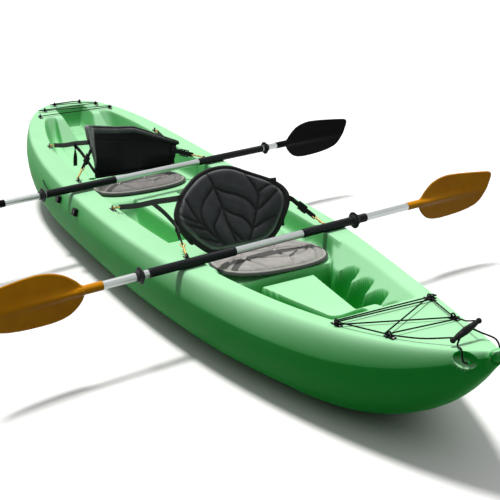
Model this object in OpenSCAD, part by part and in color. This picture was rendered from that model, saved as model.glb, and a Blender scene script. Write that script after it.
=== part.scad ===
// Sit-on-top tandem kayak with two padded seats, deck lines and two paddles.
// Millimetres. +X points to the bow, +Y to port, +Z up; the origin is on the keel, amidships.

/* [Hull] */
// Overall length of the moulded hull
hull_length = 3660; // [3500:10:3900]
// Width across the deck edges at the widest station
deck_width = 716; // [690:2:750]
// How far each side swells out below the deck edge
side_bulge = 67; // [55:1:78]
// Height of the gunwale amidships above the keel
gunwale_height = 291; // [280:1:310]
// Rise of the sheer line at the bow
bow_rise = 102; // [80:1:120]
// Rise of the sheer line at the stern
stern_rise = 150; // [130:1:165]
// Rise of the keel at the stem
stem_rise = 354; // [330:1:365]
// Rise of the keel at the stern post
post_rise = 300; // [270:1:320]
// Length over which the keel rises to the stem
stem_run = 650; // [600:5:700]
// Length over which the keel rises to the stern post
post_run = 580; // [540:5:620]
// Half thickness of the blunt stem
stem_half = 14; // [10:1:18]
// Thickness of the moulded wall
wall = 5; // [4:0.5:6]
// Width of the flat top of the gunwale
gunwale_width = 65; // [58:1:72]

/* [Cockpit] */
// Height of the seat pans above the keel
seat_floor = 205; // [195:1:215]
// Height of the footwell floors above the keel
foot_floor = 90; // [80:1:105]
// Half width of the raised console between the feet
console_half = 105; // [90:1:115]
// Half width of the console where it meets the bow deck
console_tip_half = 52; // [44:1:60]
// Aft edge of the bow deck
bow_deck_x = 1255; // [1230:5:1275]
// Aft end of the wide cockpit
cockpit_aft_x = -1050; // [-1080:5:-1030]
// Thickness of one foot brace rib
rib_thick = 15; // [10:1:20]
// How far a foot brace rib reaches in from the wall
rib_reach = 38; // [30:1:44]
// Number of foot brace ribs in each front footwell
rib_count = 4; // [2:1:5]
// Half width of the centre trough in the stern
trough_half = 70; // [60:1:80]
// Width of each ridge beside the stern trough
ridge_width = 55; // [45:1:62]
// Radius of a scupper hole
scupper_r = 19; // [14:0.5:22]

/* [Seats] */
// Fore and aft place of the front seat
front_seat_x = 580; // [560:5:600]
// Fore and aft place of the rear seat
rear_seat_x = -705; // [-725:5:-690]
// Width of a seat pad
pad_width = 460; // [420:2:480]
// Depth of a seat pad, fore and aft
pad_depth = 300; // [280:2:310]
// Thickness of a seat pad at its crown
pad_thick = 42; // [34:1:50]
// Lean of the backrests from upright, in degrees
recline = 22; // [16:1:26]
// Height of the front backrest along its face
front_back_height = 320; // [300:2:340]
// Widest half width of the front backrest
front_back_half = 245; // [230:1:250]
// Height of the rear backrest along its face
rear_back_height = 216; // [200:2:232]
// Half width of the rear backrest
rear_back_half = 228; // [215:1:235]
// Thickness of a backrest at its crown
back_thick = 34; // [28:1:38]
// Distance from the front seat to the eyes of its aft straps
front_aft_reach = 750; // [720:5:770]
// Distance from the rear seat to the eyes of its aft straps
rear_aft_reach = 480; // [460:5:500]
// Width of the seat webbing
web_width = 25; // [20:1:28]
// Thickness of the seat webbing
web_thick = 2; // [1.5:0.1:2.5]

/* [Fittings] */
// Radius of the eye in a deck pad-eye
eye_r = 7; // [6:0.5:8]
// Radius of the bar that forms the eye
eye_bar = 2.6; // [2.2:0.1:3]
// Diameter of the deck shock cord
cord_d = 6; // [5:0.5:7]
// Diameter of the toggle's rope
rope_d = 6; // [5:0.5:6.5]
// Length of the carry toggle at the bow
toggle_length = 104; // [94:2:116]
// Thickness of the carry toggle at its middle
toggle_d = 24; // [20:1:26]
// Radius of the drain plug's threaded stem
drain_r = 13; // [11:0.5:15]

/* [Paddles] */
// Length of the front paddle
front_paddle_length = 2200; // [2100:10:2300]
// Length of the rear paddle
rear_paddle_length = 2300; // [2200:10:2400]
// Outer radius of a paddle shaft
shaft_r = 14.5; // [14:0.1:15.5]
// Thickness of the shaft's tube
shaft_wall = 2; // [1.6:0.1:2.4]
// Thickness of a rubber grip sleeve
grip_thick = 2; // [1.5:0.1:2.5]
// Length of a paddle blade
blade_length = 420; // [400:5:440]
// Width of a paddle blade
blade_width = 178; // [165:1:190]
// Thickness of a blade between its ribs
blade_thick = 5; // [4:0.5:6]
// Radius of the locking button
button_r = 4; // [3.5:0.1:4.5]
// Radial running clearance of the button and the ferrule
running_fit = 0.05; // [0.02:0.01:0.09]

/* [Hidden] */

// Colours of the finishes
green = "#7fd08f";
black = "#1b1d20";
charcoal = "#34373b";
pale_grey = "#b9b4b0";
silver = "#c9ccd0";
amber = "#c07a10";
brass = "#b58b45";

// Small gap that keeps two pieces from touching
clear = 0.3;
half_length = hull_length / 2;
deck_half_max = deck_width / 2;

// Where the deck is widest, as a share of the half length
widest_at = -0.17;
// Share of the section's height at which the hull is widest
part_share = 0.71;
// Start of the keel's rise towards each end
stem_start = half_length - stem_run;
post_start = half_length - post_run;

function share(x, a, b) = max(0, min(1, (x - a) / (b - a)));
function mix(a, b, t) = a + (b - a) * t;
function clip_u(x) = max(-0.9985, min(0.9985, x / half_length));

// Lines of the hull at a station x
function deck_plan(u) = u > widest_at
    ? pow(1 - pow((u - widest_at) / (1 - widest_at), 2.62), 0.91)
    : pow(1 - pow((widest_at - u) / (1 + widest_at), 2.88), 0.42);
function deck_half(x) = max(stem_half, deck_half_max * deck_plan(clip_u(x)));
function sheer(x) = gunwale_height
    + (x > 0 ? bow_rise * pow(x / half_length, 5) : stern_rise * pow(-x / half_length, 2.2));
function keel(x) = x > stem_start ? stem_rise * pow((x - stem_start) / (half_length - stem_start), 2.4)
    : x < -post_start ? post_rise * pow((-x - post_start) / (half_length - post_start), 2.6) : 0;
function part_z(x) = mix(keel(x), sheer(x), part_share);
function beam_half(x) = deck_half(x) + side_bulge * pow(deck_half(x) / deck_half_max, 0.6);
function fullness(x) = mix(3.4, 1.9, share(abs(x / half_length), 0.45, 1));
// Half breadth of the hull's side at height z above the widest line
function side_half(x, z) = let (t = share(z, part_z(x), sheer(x)))
    deck_half(x) + (beam_half(x) - deck_half(x)) * sqrt(1 - t * t);

// One ring of the hull's skin, drawn in by w
function half_ring(x, w) = let (
    b = max(deck_half(x) - w, 2), bp = max(beam_half(x) - w, 3),
    zk = keel(x) + w, h = max(sheer(x) - w, zk + 4), zp = mix(zk, h, part_share), n = fullness(x))
    concat(
        [[x, bp * 0.3, zk]],
        [for (a = [-66 : 16.5 : 0]) [x, bp * pow(cos(a), 2 / n), zp - (zp - zk) * pow(-sin(a), 2 / n)]],
        [for (a = [25, 50, 72, 90]) [x, b + (bp - b) * cos(a), zp + (h - zp) * sin(a)]]);
function port_to_starboard(half) = concat(half,
    [for (i = [len(half) - 1 : -1 : 0]) [half[i].x, -half[i].y, half[i].z]]);

// Skin through a list of rings that run along +X, each turning from +Y to +Z
module loft(rings) {
    n = len(rings[0]);
    last = len(rings) - 1;
    points = [for (ring = rings) each ring];
    sides = [for (i = [0 : last - 1]) for (j = [0 : n - 1])
        let (a = i * n + j, b = i * n + (j + 1) % n, c = b + n, d = a + n) each [[a, c, b], [a, d, c]]];
    polyhedron(points, concat(sides, [[for (j = [0 : n - 1]) j]],
        [[for (j = [n - 1 : -1 : 0]) last * n + j]]), convexity = 12);
}

// Closed slab between a grid of top points and a grid of bottom points of equal size
module slab(top, bottom) {
    nu = len(top) - 1;
    nv = len(top[0]) - 1;
    m = nv + 1;
    low = (nu + 1) * m;
    points = concat([for (row = top) each row], [for (row = bottom) each row]);
    cells = [for (i = [0 : nu - 1]) for (j = [0 : nv - 1]) i * m + j];
    faces = concat(
        [for (a = cells) each [[a, a + m, a + m + 1], [a, a + m + 1, a + 1]]],
        [for (a = cells) let (b = a + low) each [[b, b + m + 1, b + m], [b, b + 1, b + m + 1]]],
        [for (j = [0 : nv - 1]) each [[j, j + 1, low + j + 1], [j, low + j + 1, low + j]]],
        [for (j = [0 : nv - 1]) let (a = nu * m + j)
            each [[a + 1, a, low + a], [a + 1, low + a, low + a + 1]]],
        [for (i = [0 : nu - 1]) let (a = i * m)
            each [[a + m, a, low + a], [a + m, low + a, low + a + m]]],
        [for (i = [0 : nu - 1]) let (a = i * m + nv)
            each [[a, a + m, low + a + m], [a, low + a + m, low + a]]]);
    polyhedron(points, faces, convexity = 8);
}

// Round cord swept along a list of points
function unit(v) = v / norm(v);
function tangent(route, i) = unit(route[min(i + 1, len(route) - 1)] - route[max(i - 1, 0)]);
function side_of(t) = abs(t.z) > 0.9 ? unit(cross(t, [0, 1, 0])) : unit(cross([0, 0, 1], t));
module cord(route, d, sides = 8) {
    n = len(route);
    rings = [for (i = [0 : n - 1]) let (t = tangent(route, i), a = side_of(t), b = cross(t, a))
        [for (k = [0 : sides - 1]) route[i] + d / 2 * (a * cos(360 * k / sides) + b * sin(360 * k / sides))]];
    loft(rings);
}
// Smooth curve through hand-placed points
function curve_point(p, i, t) = let (
    a = p[max(i - 1, 0)], b = p[i], c = p[i + 1], d = p[min(i + 2, len(p) - 1)])
    0.5 * (2 * b + (c - a) * t + (2 * a - 5 * b + 4 * c - d) * t * t + (3 * b - 3 * c + d - a) * t * t * t);
function curve(p, n) = concat(
    [for (i = [0 : len(p) - 2]) for (k = [0 : n - 1]) curve_point(p, i, k / n)], [p[len(p) - 1]]);

// Stations of the skin, closer together near the ends
skin_steps = 26;
function station(lo, hi, i) = mix(lo, hi, (1 - cos(180 * i / skin_steps)) / 2);
function stations(lo, hi) = [for (i = [0 : skin_steps]) station(lo, hi, i)];
// Height and slope of the moulded deck between two stations
function deck_span(x) = let (i = min(floor(skin_steps * acos(-clip_u(x)) / 180), skin_steps - 1))
    [station(-half_length, half_length, i), station(-half_length, half_length, i + 1)];
function deck_z(x) = let (d = deck_span(x)) mix(sheer(d[0]), sheer(d[1]), (x - d[0]) / (d[1] - d[0]));
function deck_slope(x) = let (d = deck_span(x)) atan((sheer(d[1]) - sheer(d[0])) / (d[1] - d[0]));
module skin(w, lo, hi) {
    loft([for (x = stations(lo, hi)) port_to_starboard(half_ring(x, w))]);
}

// Recesses in the deck, each grown by g to leave a wall around it
wall_lean = 0.28;
over = 80;
function tub_half(x) = deck_half(x) - gunwale_width;
console_x = front_seat_x + pad_depth / 2 + 12;
function tub_floor(x) = mix(seat_floor, sheer(x) - 3, share(x, console_x, bow_deck_x));
function trapezoid(x, low, high, base_z, top_z) =
    [[x, high[0], base_z], [x, high[1], top_z], [x, low[1], top_z], [x, low[0], base_z]];
function steps(lo, hi, n) = [for (i = [0 : n]) mix(lo, hi, i / n)];

module tub(g) {
    aft_run = steps(cockpit_aft_x - g, console_x, 11);
    fore_run = steps(console_x, bow_deck_x + g, 5);
    loft([for (x = concat(aft_run, [for (i = [1 : 5]) fore_run[i]])) let (
        z = tub_floor(x) - g, h = sheer(x), y = tub_half(x) + g,
        yb = y - wall_lean * (h - z), yt = y + wall_lean * over)
        trapezoid(x, [-yb, -yt], [yb, yt], z, h + over)]);
}
function console_edge(x) = mix(console_half, console_tip_half, share(x, console_x, bow_deck_x));
module front_well(g, side) {
    lo = console_x + 4 - g;
    hi = bow_deck_x - 18 + g;
    loft([for (x = steps(lo, hi, 10)) let (
        z = foot_floor + 90 * pow(share(x, bow_deck_x - 170, bow_deck_x), 2) - g,
        top = sheer(x) + over, yi = console_edge(x) - g, yo = tub_half(x) - 34 + g,
        a = trapezoid(x, [yi + 14, yi - 14], [yo - 18, yo + 8], z, top),
        b = trapezoid(x, [-yo + 18, -yo - 8], [-yi - 14, -yi + 14], z, top))
        side > 0 ? a : b]);
}
rib_rake = 34;
module front_ribs(side) {
    pitch = (bow_deck_x - console_x - 110) / rib_count;
    for (i = [0 : rib_count - 1]) {
        x = console_x + 100 + pitch * i;
        y = side * (tub_half(x) - 20);
        hull() {
            translate([x, y, foot_floor - 20]) cylinder(d = rib_thick, h = 130, $fn = 16);
            translate([x + rib_rake, y - side * rib_reach, foot_floor - 20])
                cylinder(d = rib_thick, h = 75, $fn = 16);
        }
    }
}
mid_well_lo = rear_seat_x + pad_depth / 2 + 50;
mid_well_hi = front_seat_x - pad_depth / 2 - 300;
module mid_well(g, side) {
    loft([for (x = steps(mid_well_lo - g, mid_well_hi + g, 6)) let (
        z = foot_floor - g, top = sheer(x) + over, yi = console_half - g, yo = tub_half(x) - 34 + g,
        a = trapezoid(x, [yi + 14, yi - 14], [yo - 18, yo + 8], z, top),
        b = trapezoid(x, [-yo + 18, -yo - 8], [-yi - 14, -yi + 14], z, top))
        side > 0 ? a : b]);
}
trough_aft_x = -half_length + 75;
module trough(g) {
    loft([for (x = steps(trough_aft_x - g, cockpit_aft_x + 20, 10)) let (
        z = mix(seat_floor, sheer(trough_aft_x) - 110, share(x, cockpit_aft_x, trough_aft_x)) - g,
        top = sheer(x) + over, y = trough_half + g)
        trapezoid(x, [-y + 12, -y - 16], [y - 12, y + 16], z, top)]);
}
pocket_aft_x = -half_length + 228;
module pocket(g, side) {
    loft([for (x = steps(pocket_aft_x - g, cockpit_aft_x + 20, 10)) let (
        t = share(x, cockpit_aft_x, pocket_aft_x),
        z = seat_floor + 45 * t - g, top = sheer(x) + over,
        full = tub_half(x), yi = trough_half + ridge_width + 14 * t - g,
        yo = mix(full, min(full, yi + 70), pow(t, 6)) + g,
        a = trapezoid(x, [yi + 16, yi - 8], [yo - 30, yo + 16], z, top),
        b = trapezoid(x, [-yo + 30, -yo - 16], [-yi - 16, -yi + 8], z, top))
        side > 0 ? a : b]);
}
tunnel_x = half_length - 62;
tunnel_z = sheer(tunnel_x) - 34;
module bow_scoops(g) {
    for (side = [-1, 1])
        translate([tunnel_x, side * (beam_half(tunnel_x) + 6), tunnel_z])
            scale([34 + g, 22 + g, 19 + g]) rotate([0, 7, 4]) sphere(r = 1, $fn = 22);
    translate([tunnel_x, 0, tunnel_z]) rotate([90, 0, 0])
        cylinder(r = rope_d / 2 + clear + g, h = 2 * beam_half(tunnel_x), center = true, $fn = 24);
}
module recesses(g) {
    tub(g);
    trough(g);
    for (side = [-1, 1]) {
        front_well(g, side);
        mid_well(g, side);
        pocket(g, side);
    }
    bow_scoops(g);
}
// Places of the scupper holes, which pass from the floors to the bottom
scupper_places = [
    for (s = [-1, 1]) each [
        [console_x + 260, s * 115], [mid_well_lo + 300, s * 180], [cockpit_aft_x + 90, s * 150]]];
module scuppers(r) {
    for (p = scupper_places)
        translate([p.x, p.y, -10]) cylinder(r = r, h = gunwale_height, $fn = 32);
}
// Seat of the drain plug on the port quarter
drain_x = -half_length + 235;
drain_z = part_z(drain_x);
drain_y = beam_half(drain_x) - 4;
drain_flange_r = drain_r + 9;
module along_drain() {
    translate([drain_x, drain_y, drain_z]) rotate([-90, 0, 0]) children();
}
module hull_shell() {
    color(green)
        difference() {
            skin(0, -half_length, half_length);
            difference() {
                recesses(0);
                for (side = [-1, 1]) front_ribs(side);
            }
            difference() {
                skin(wall, -half_length + 4 * wall, tunnel_x - 34 - 3 * wall);
                recesses(wall);
                scuppers(scupper_r + wall);
                for (side = [-1, 1]) front_ribs(side);
            }
            scuppers(scupper_r);
            along_drain() {
                cylinder(r = drain_flange_r + 1.5, h = 40, $fn = 48);
                translate([0, 0, -60]) cylinder(r = drain_r + clear, h = 80, $fn = 48);
            }
        }
}

// Drain plug and its rubber washer
gasket_h = 2;
module drain_gasket() {
    color(black) along_drain() translate([0, 0, 0.05]) difference() {
        cylinder(r = drain_flange_r - 1, h = gasket_h, $fn = 48);
        translate([0, 0, -1]) cylinder(r = drain_r + 2 * clear, h = gasket_h + 2, $fn = 48);
    }
}
module drain_plug() {
    color(black) along_drain() translate([0, 0, gasket_h + 0.1]) difference() {
        union() {
            cylinder(r = drain_flange_r, h = 5, $fn = 48);
            translate([0, 0, -24]) cylinder(r = drain_r, h = 25, $fn = 48);
            translate([0, 0, 4]) cylinder(r = drain_flange_r - 5, h = 5, $fn = 48);
        }
        translate([-2.5, -drain_flange_r + 7, 5]) cube([5, 2 * drain_flange_r - 14, 6]);
    }
}

// Seat pads: oval, crowned, drawn in at the sides, with sewn channels
pad_grid = [22, 14];
function pad_plan(v) = max(0.2, pow(1 - pow(abs(2 * v - 1), 3.4), 1 / 2.6));
function crown(s, p) = pow(max(0, 1 - pow(abs(s), p)), 0.5);
function groove(d, w) = exp(-pow(d / w, 2));
function pad_channels(s, v) = min(1, groove(s - 0.33, 0.05) + groove(s + 0.33, 0.05) + groove(v - 0.36, 0.05)
    + groove(v - 0.72, 0.05));
module seat_pad(x0) {
    base = seat_floor + clear;
    top = [for (i = [0 : pad_grid.x]) [for (j = [0 : pad_grid.y]) let (
        s = 2 * i / pad_grid.x - 1, v = j / pad_grid.y,
        edge = crown(s, 6) * crown(2 * v - 1, 6),
        z = pad_thick * (0.35 + 0.65 * edge) - 6 * pad_channels(s, v) * edge)
        [x0 + (v - 0.5) * pad_depth, s * pad_plan(v) * pad_width / 2, base + z]]];
    bottom = [for (row = top) [for (p = row) [p.x * 0.985 + x0 * 0.015, p.y * 0.985, base]]];
    slab(top, bottom);
}
module front_seat_pad() {
    color(pale_grey) seat_pad(front_seat_x);
}
module rear_seat_pad() {
    color(pale_grey) seat_pad(rear_seat_x);
}

// Backrests: a padded panel on a leaning plane, wings bent forward
back_grid = [24, 14];
// Foot of each panel, along the boat and up
front_root = [front_seat_x - pad_depth / 2 - 75, seat_floor + 30];
rear_root = [rear_seat_x - pad_depth / 2 + 84, seat_floor + pad_thick + 16];
// Height of a panel's widest part, as a share
shoulder = 0.5;
function front_plan(v) = v < shoulder ? mix(0.56, 1, sin(90 * v / shoulder))
    : 1 - 0.85 * pow((v - shoulder) / (1 - shoulder), 1.9);
function rear_plan(v) = 0.97 + 0.03 * sin(180 * v);
function wing(s, start) = pow(share(abs(s), start, 1), 1.4);
function on_back(root, y, up, out) =
    [root[0] - up * sin(recline) + out * cos(recline), y, root[1] + up * cos(recline) + out * sin(recline)];
// Leaf-vein channels of the front panel
function front_channels(s, v) = min(1, groove(s, 0.035)
    + max([for (k = [0 : 3]) groove(v - 0.12 - 0.24 * k - 0.3 * pow(abs(s), 0.8), 0.035)]));
function rear_channels(s, v) = min(1, groove(abs(s) - 0.58, 0.04) + groove(v - 0.84, 0.04));
module backrest(root, height, half, plan_kind, bend) {
    function plan(v) = plan_kind == 0 ? front_plan(v) : rear_plan(v);
    function channels(s, v) = plan_kind == 0 ? front_channels(s, v) : rear_channels(s, v);
    function face_grid(face) = [for (i = [0 : back_grid.x]) [for (j = [0 : back_grid.y]) let (
        s = 2 * i / back_grid.x - 1, v = j / back_grid.y,
        edge = crown(s, 6) * crown(2 * v - 1, 8),
        t = back_thick * (0.22 + 0.78 * edge),
        sewn = face > 0 ? 7 * channels(s, v) * edge : 0,
        side = wing(s, bend[0]),
        out = bend[1] * side * wing_rise(v) + face * t / 2 - sewn)
        on_back(root, s * half * plan(v), v * height * (1 - bend[2] * side), out)]];
    slab(face_grid(-1), face_grid(1));
}
// Start of the bent sides, how far they come forward and how much lower they end
front_bend = [0.35, 60, 0];
rear_bend = [0.33, 110, 0.25];
module front_backrest() {
    color(charcoal) backrest(front_root, front_back_height, front_back_half, 0, front_bend);
}
module rear_backrest() {
    color(black) backrest(rear_root, rear_back_height, rear_back_half, 1, rear_bend);
}

// Pad-eyes: a flat foot with two rivets and a round eye standing on it
eye_foot = [44, 15, 3];
eye_leg = 4;
rivet_pitch = 34;
rivet_hole_r = 2.2;
module pad_eye() {
    difference() {
        union() {
            translate([-eye_foot.x / 2, -eye_foot.y / 2, 0]) cube(eye_foot);
            translate([0, 0, eye_foot.z + eye_leg]) rotate([90, 0, 0])
                rotate_extrude(angle = 180, $fn = 40)
                    translate([eye_r + eye_bar, 0]) circle(r = eye_bar, $fn = 20);
            for (s = [-1, 1]) translate([s * (eye_r + eye_bar), 0, eye_foot.z - 0.5])
                cylinder(r = eye_bar, h = eye_leg + 0.5, $fn = 20);
        }
        for (s = [-1, 1]) translate([s * rivet_pitch / 2, 0, -1]) cylinder(r = rivet_hole_r, h = 8, $fn = 24);
    }
}
module eye_rivets() {
    for (s = [-1, 1]) translate([s * rivet_pitch / 2, 0, 0]) {
        translate([0, 0, 0.4]) cylinder(r = rivet_hole_r - 0.02, h = eye_foot.z, $fn = 24);
        translate([0, 0, eye_foot.z]) cylinder(r1 = 4, r2 = 2.4, h = 1.6, $fn = 24);
    }
}
// Lift of an eye's foot over a bend in the deck
function foot_lift(x) = let (h = eye_foot.x / 2, rise = h * tan(deck_slope(x)))
    max(0, deck_z(x + h) - deck_z(x) - rise, deck_z(x - h) - deck_z(x) + rise);
function eye_stand(x) = deck_z(x) + clear + foot_lift(x);
// Stands its children on the deck at x and y
module on_deck(x, y) {
    translate([x, y, eye_stand(x)]) rotate([0, -deck_slope(x), 0]) children();
}
eye_inset = 24;
function gunwale_y(x) = tub_half(x) + gunwale_width * 0.36;
function deck_eye_y(x) = deck_half(x) - eye_inset;
function stern_eye_y(x) = deck_half(x - eye_foot.x / 2) - 14;
bow_eye_x = [half_length - 500, half_length - 315];
stern_eye_x = [-half_length + 40, -half_length + 105, -half_length + 190];
front_fore_x = front_seat_x - 50;
front_aft_x = front_seat_x - front_aft_reach;
rear_fore_x = rear_seat_x + 75;
rear_aft_x = rear_seat_x - rear_aft_reach;
seat_eye_x = [front_fore_x, front_aft_x, rear_fore_x, rear_aft_x];
module bow_eyes() {
    for (x = bow_eye_x) for (s = [-1, 1]) on_deck(x, s * deck_eye_y(x)) children();
}
module seat_eyes() {
    for (x = seat_eye_x) for (s = [-1, 1]) on_deck(x, s * gunwale_y(x)) children();
}
module stern_eyes() {
    for (x = stern_eye_x) for (s = [-1, 1]) on_deck(x, s * stern_eye_y(x)) children();
}
module bow_pad_eyes() {
    color(black) bow_eyes() pad_eye();
}
module seat_pad_eyes() {
    color(black) seat_eyes() pad_eye();
}
module stern_pad_eyes() {
    color(black) stern_eyes() pad_eye();
}
module pad_eye_rivets() {
    color(silver) {
        bow_eyes() eye_rivets();
        seat_eyes() eye_rivets();
        stern_eyes() eye_rivets();
    }
}

// Snap hooks that clip the straps to the pad-eyes
hook_length = 58;
hook_wire = 2.2;
hook_ring_r = 5.6;
function eye_point(x, y) = [x, y, eye_stand(x) + eye_foot.z + eye_leg];
// Middle of the eye's bar on the side that the strap pulls to
function pull(x, goal) = let (e = eye_point(x, 0)) unit([goal.x - x, 0, goal.z - e.z]);
function hook_root(x, side, goal) = eye_point(x, side * gunwale_y(x)) + (eye_r + eye_bar) * pull(x, goal);
// Where the strap leaves its hook, towards a point on the backrest
function hook_end(x, side, goal) = let (e = hook_root(x, side, goal)) e + unit(goal - e) * hook_length;
module aim(from, to) {
    d = unit(to - from);
    translate(from) rotate([0, acos(d.z), atan2(d.y, d.x)]) children();
}
module snap_hook(x, side, goal) {
    r = pull(x, goal);
    translate(hook_root(x, side, goal)) rotate([0, atan2(-r.z, r.x), 0])
        rotate_extrude($fn = 32) translate([hook_ring_r, 0]) circle(r = hook_wire, $fn = 16);
    aim(hook_root(x, side, goal), goal) {
        translate([0, 0, hook_ring_r]) cylinder(r = 3.4, h = hook_length - 20, $fn = 24);
        translate([0, 0, hook_length - 7]) rotate([90, 0, 0]) rotate_extrude($fn = 32)
            translate([8, 0]) circle(r = hook_wire, $fn = 16);
    }
}

// Straps: fore straps run from the wings to the gunwale, aft straps meet at a fork behind the back
// Point just off the edge of a backrest, at share v of its height
function wing_rise(v) = sin(90 * share(v, 0, 0.4));
function strap_top(root, half, height, v, side, bend) =
    on_back(root, side * (half + web_thick / 2 + clear), v * height * (1 - bend[2]), bend[1] * wing_rise(v));
function front_edge(v, side) = let (d = 0.6 * web_width / front_back_height,
    half = front_back_half * max(front_plan(v - d), front_plan(v), front_plan(v + d)))
    strap_top(front_root, half, front_back_height, v, side, front_bend);
function rear_edge(v, side) = let (d = 0.6 * web_width / rear_back_height,
    half = rear_back_half * max(rear_plan(v - d), rear_plan(v), rear_plan(v + d)))
    strap_top(rear_root, half, rear_back_height, v, side, rear_bend);
fore_at = 0.5;
aft_at = 0.66;
low_at = 0.14;
// Flat webbing between two points, grown by g for the sleeve it runs through
module web(from, to, g = 0) {
    hull() {
        for (p = [from, to]) translate(p)
            cube([web_thick + 2 * g, web_thick + 2 * g, web_width * 0.8 + 2 * g], center = true);
    }
}
module fore_strap(x, side, goal) {
    web(hook_end(x, side, goal), goal);
}
fork_share = 0.62;
module aft_strap(x, side, goal, low) {
    start = hook_end(x, side, goal);
    fork = mix(start, goal, fork_share);
    web(start, fork);
    web(fork, goal);
    web(fork, low);
}
module front_fore_strap_port() {
    color(black) fore_strap(front_fore_x, 1, front_edge(fore_at, 1));
}
module front_fore_strap_starboard() {
    color(black) fore_strap(front_fore_x, -1, front_edge(fore_at, -1));
}
module front_aft_strap_port() {
    color(black) aft_strap(front_aft_x, 1, front_edge(aft_at, 1), front_edge(low_at, 1));
}
module front_aft_strap_starboard() {
    color(black) aft_strap(front_aft_x, -1, front_edge(aft_at, -1), front_edge(low_at, -1));
}
module rear_fore_strap_port() {
    color(black) fore_strap(rear_fore_x, 1, rear_edge(fore_at, 1));
}
module rear_fore_strap_starboard() {
    color(black) fore_strap(rear_fore_x, -1, rear_edge(fore_at, -1));
}
module rear_aft_strap_port() {
    color(black) aft_strap(rear_aft_x, 1, rear_edge(aft_at, 1), rear_edge(low_at, 1));
}
module rear_aft_strap_starboard() {
    color(black) aft_strap(rear_aft_x, -1, rear_edge(aft_at, -1), rear_edge(low_at, -1));
}
module front_snap_hooks() {
    color(brass) for (side = [-1, 1]) {
        snap_hook(front_fore_x, side, front_edge(fore_at, side));
        snap_hook(front_aft_x, side, front_edge(aft_at, side));
    }
}
module rear_snap_hooks() {
    color(brass) for (side = [-1, 1]) {
        snap_hook(rear_fore_x, side, rear_edge(fore_at, side));
        snap_hook(rear_aft_x, side, rear_edge(aft_at, side));
    }
}
// Buckles on the fore straps, each a flat sleeve that the webbing runs through
buckle = [30, 8, 42];
buckle_share = 0.5;
module strap_buckle(x, side, goal) {
    start = hook_end(x, side, goal);
    difference() {
        aim(mix(start, goal, buckle_share), goal) cube([buckle.x, buckle.y, buckle.z], center = true);
        web(start, goal, clear);
    }
}
module front_strap_buckles() {
    color(black) for (side = [-1, 1]) strap_buckle(front_fore_x, side, front_edge(fore_at, side));
}
module rear_strap_buckles() {
    color(black) for (side = [-1, 1]) strap_buckle(rear_fore_x, side, rear_edge(fore_at, side));
}

// Shock cord laced through the bow eyes and across the stern
bow_aft = bow_eye_x[0];
bow_fore = bow_eye_x[1];
// Points just inboard of the eyes, where the runs of cord meet
turn_in = 16;
function bow_turn(x, side) = eye_point(x, side * (deck_eye_y(x) - turn_in));
bow_runs = [
    [bow_turn(bow_aft, -1), bow_turn(bow_aft, 1)], [bow_turn(bow_aft, 1), bow_turn(bow_fore, 1)],
    [bow_turn(bow_fore, 1), bow_turn(bow_fore, -1)], [bow_turn(bow_fore, -1), bow_turn(bow_aft, -1)],
    [bow_turn(bow_aft, -1), bow_turn(bow_fore, 1)], [bow_turn(bow_aft, 1), bow_turn(bow_fore, -1)]];
module bow_shock_cord() {
    color(black) {
        for (run = bow_runs) cord(run, cord_d);
        for (x = bow_eye_x) for (s = [-1, 1])
            cord([bow_turn(x, s), eye_point(x, s * (deck_eye_y(x) + 6))], cord_d);
    }
}
module stern_shock_cord() {
    color(black) for (x = stern_eye_x)
        cord([eye_point(x, -stern_eye_y(x) - 8), eye_point(x, stern_eye_y(x) + 8)], cord_d);
}

// Carry toggle on a rope bail through the stem
toggle_rest = [tunnel_x - 68, 0, tunnel_z + 54];
toggle_tilt = 22;
toggle_hole = 14;
rope_side = beam_half(tunnel_x) + 3;
function rope_route(side) = [
    [tunnel_x, -3 * side, tunnel_z], [tunnel_x, side * (rope_side - 20), tunnel_z],
    [tunnel_x, side * (rope_side - 8), tunnel_z],
    [tunnel_x - 4, side * (rope_side + 8), tunnel_z + 9],
    [tunnel_x - 16, side * (rope_side + 4), tunnel_z + 35],
    [toggle_rest.x + 14, side * (rope_side - 14), toggle_rest.z - 18 + 8 * side],
    toggle_rest + [0, side * toggle_hole * cos(toggle_tilt), side * toggle_hole * sin(toggle_tilt)]];
module bow_toggle_rope() {
    color(black) for (side = [-1, 1]) cord(curve(rope_route(side), 5), rope_d);
}
// Outline of half the toggle: a barrel that swells towards its middle
function toggle_profile() = [for (i = [0 : 10]) let (t = i / 5 - 1)
    [toggle_d / 2 * (0.62 + 0.38 * pow(cos(90 * t), 0.7)), t * toggle_length / 2]];
module bow_toggle() {
    color(black) translate(toggle_rest) rotate([toggle_tilt, 0, 0]) difference() {
        rotate([90, 0, 0]) rotate_extrude($fn = 40)
            polygon(concat([[0, -toggle_length / 2]], toggle_profile(), [[0, toggle_length / 2]]));
        for (s = [-1, 1]) translate([0, s * toggle_hole, -toggle_d])
            cylinder(r = rope_d / 2 + 1, h = 2 * toggle_d, $fn = 24);
    }
}

// Paddle keepers on the sides: two screwed brackets and a short shock cord
keeper_x = [rear_seat_x + 110, rear_seat_x + 345];
keeper_z = gunwale_height - 42;
keeper_eye_x = rear_seat_x - 190;
bracket = [34, 16, 30];
function keeper_y(x) = side_half(x, keeper_z);
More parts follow.
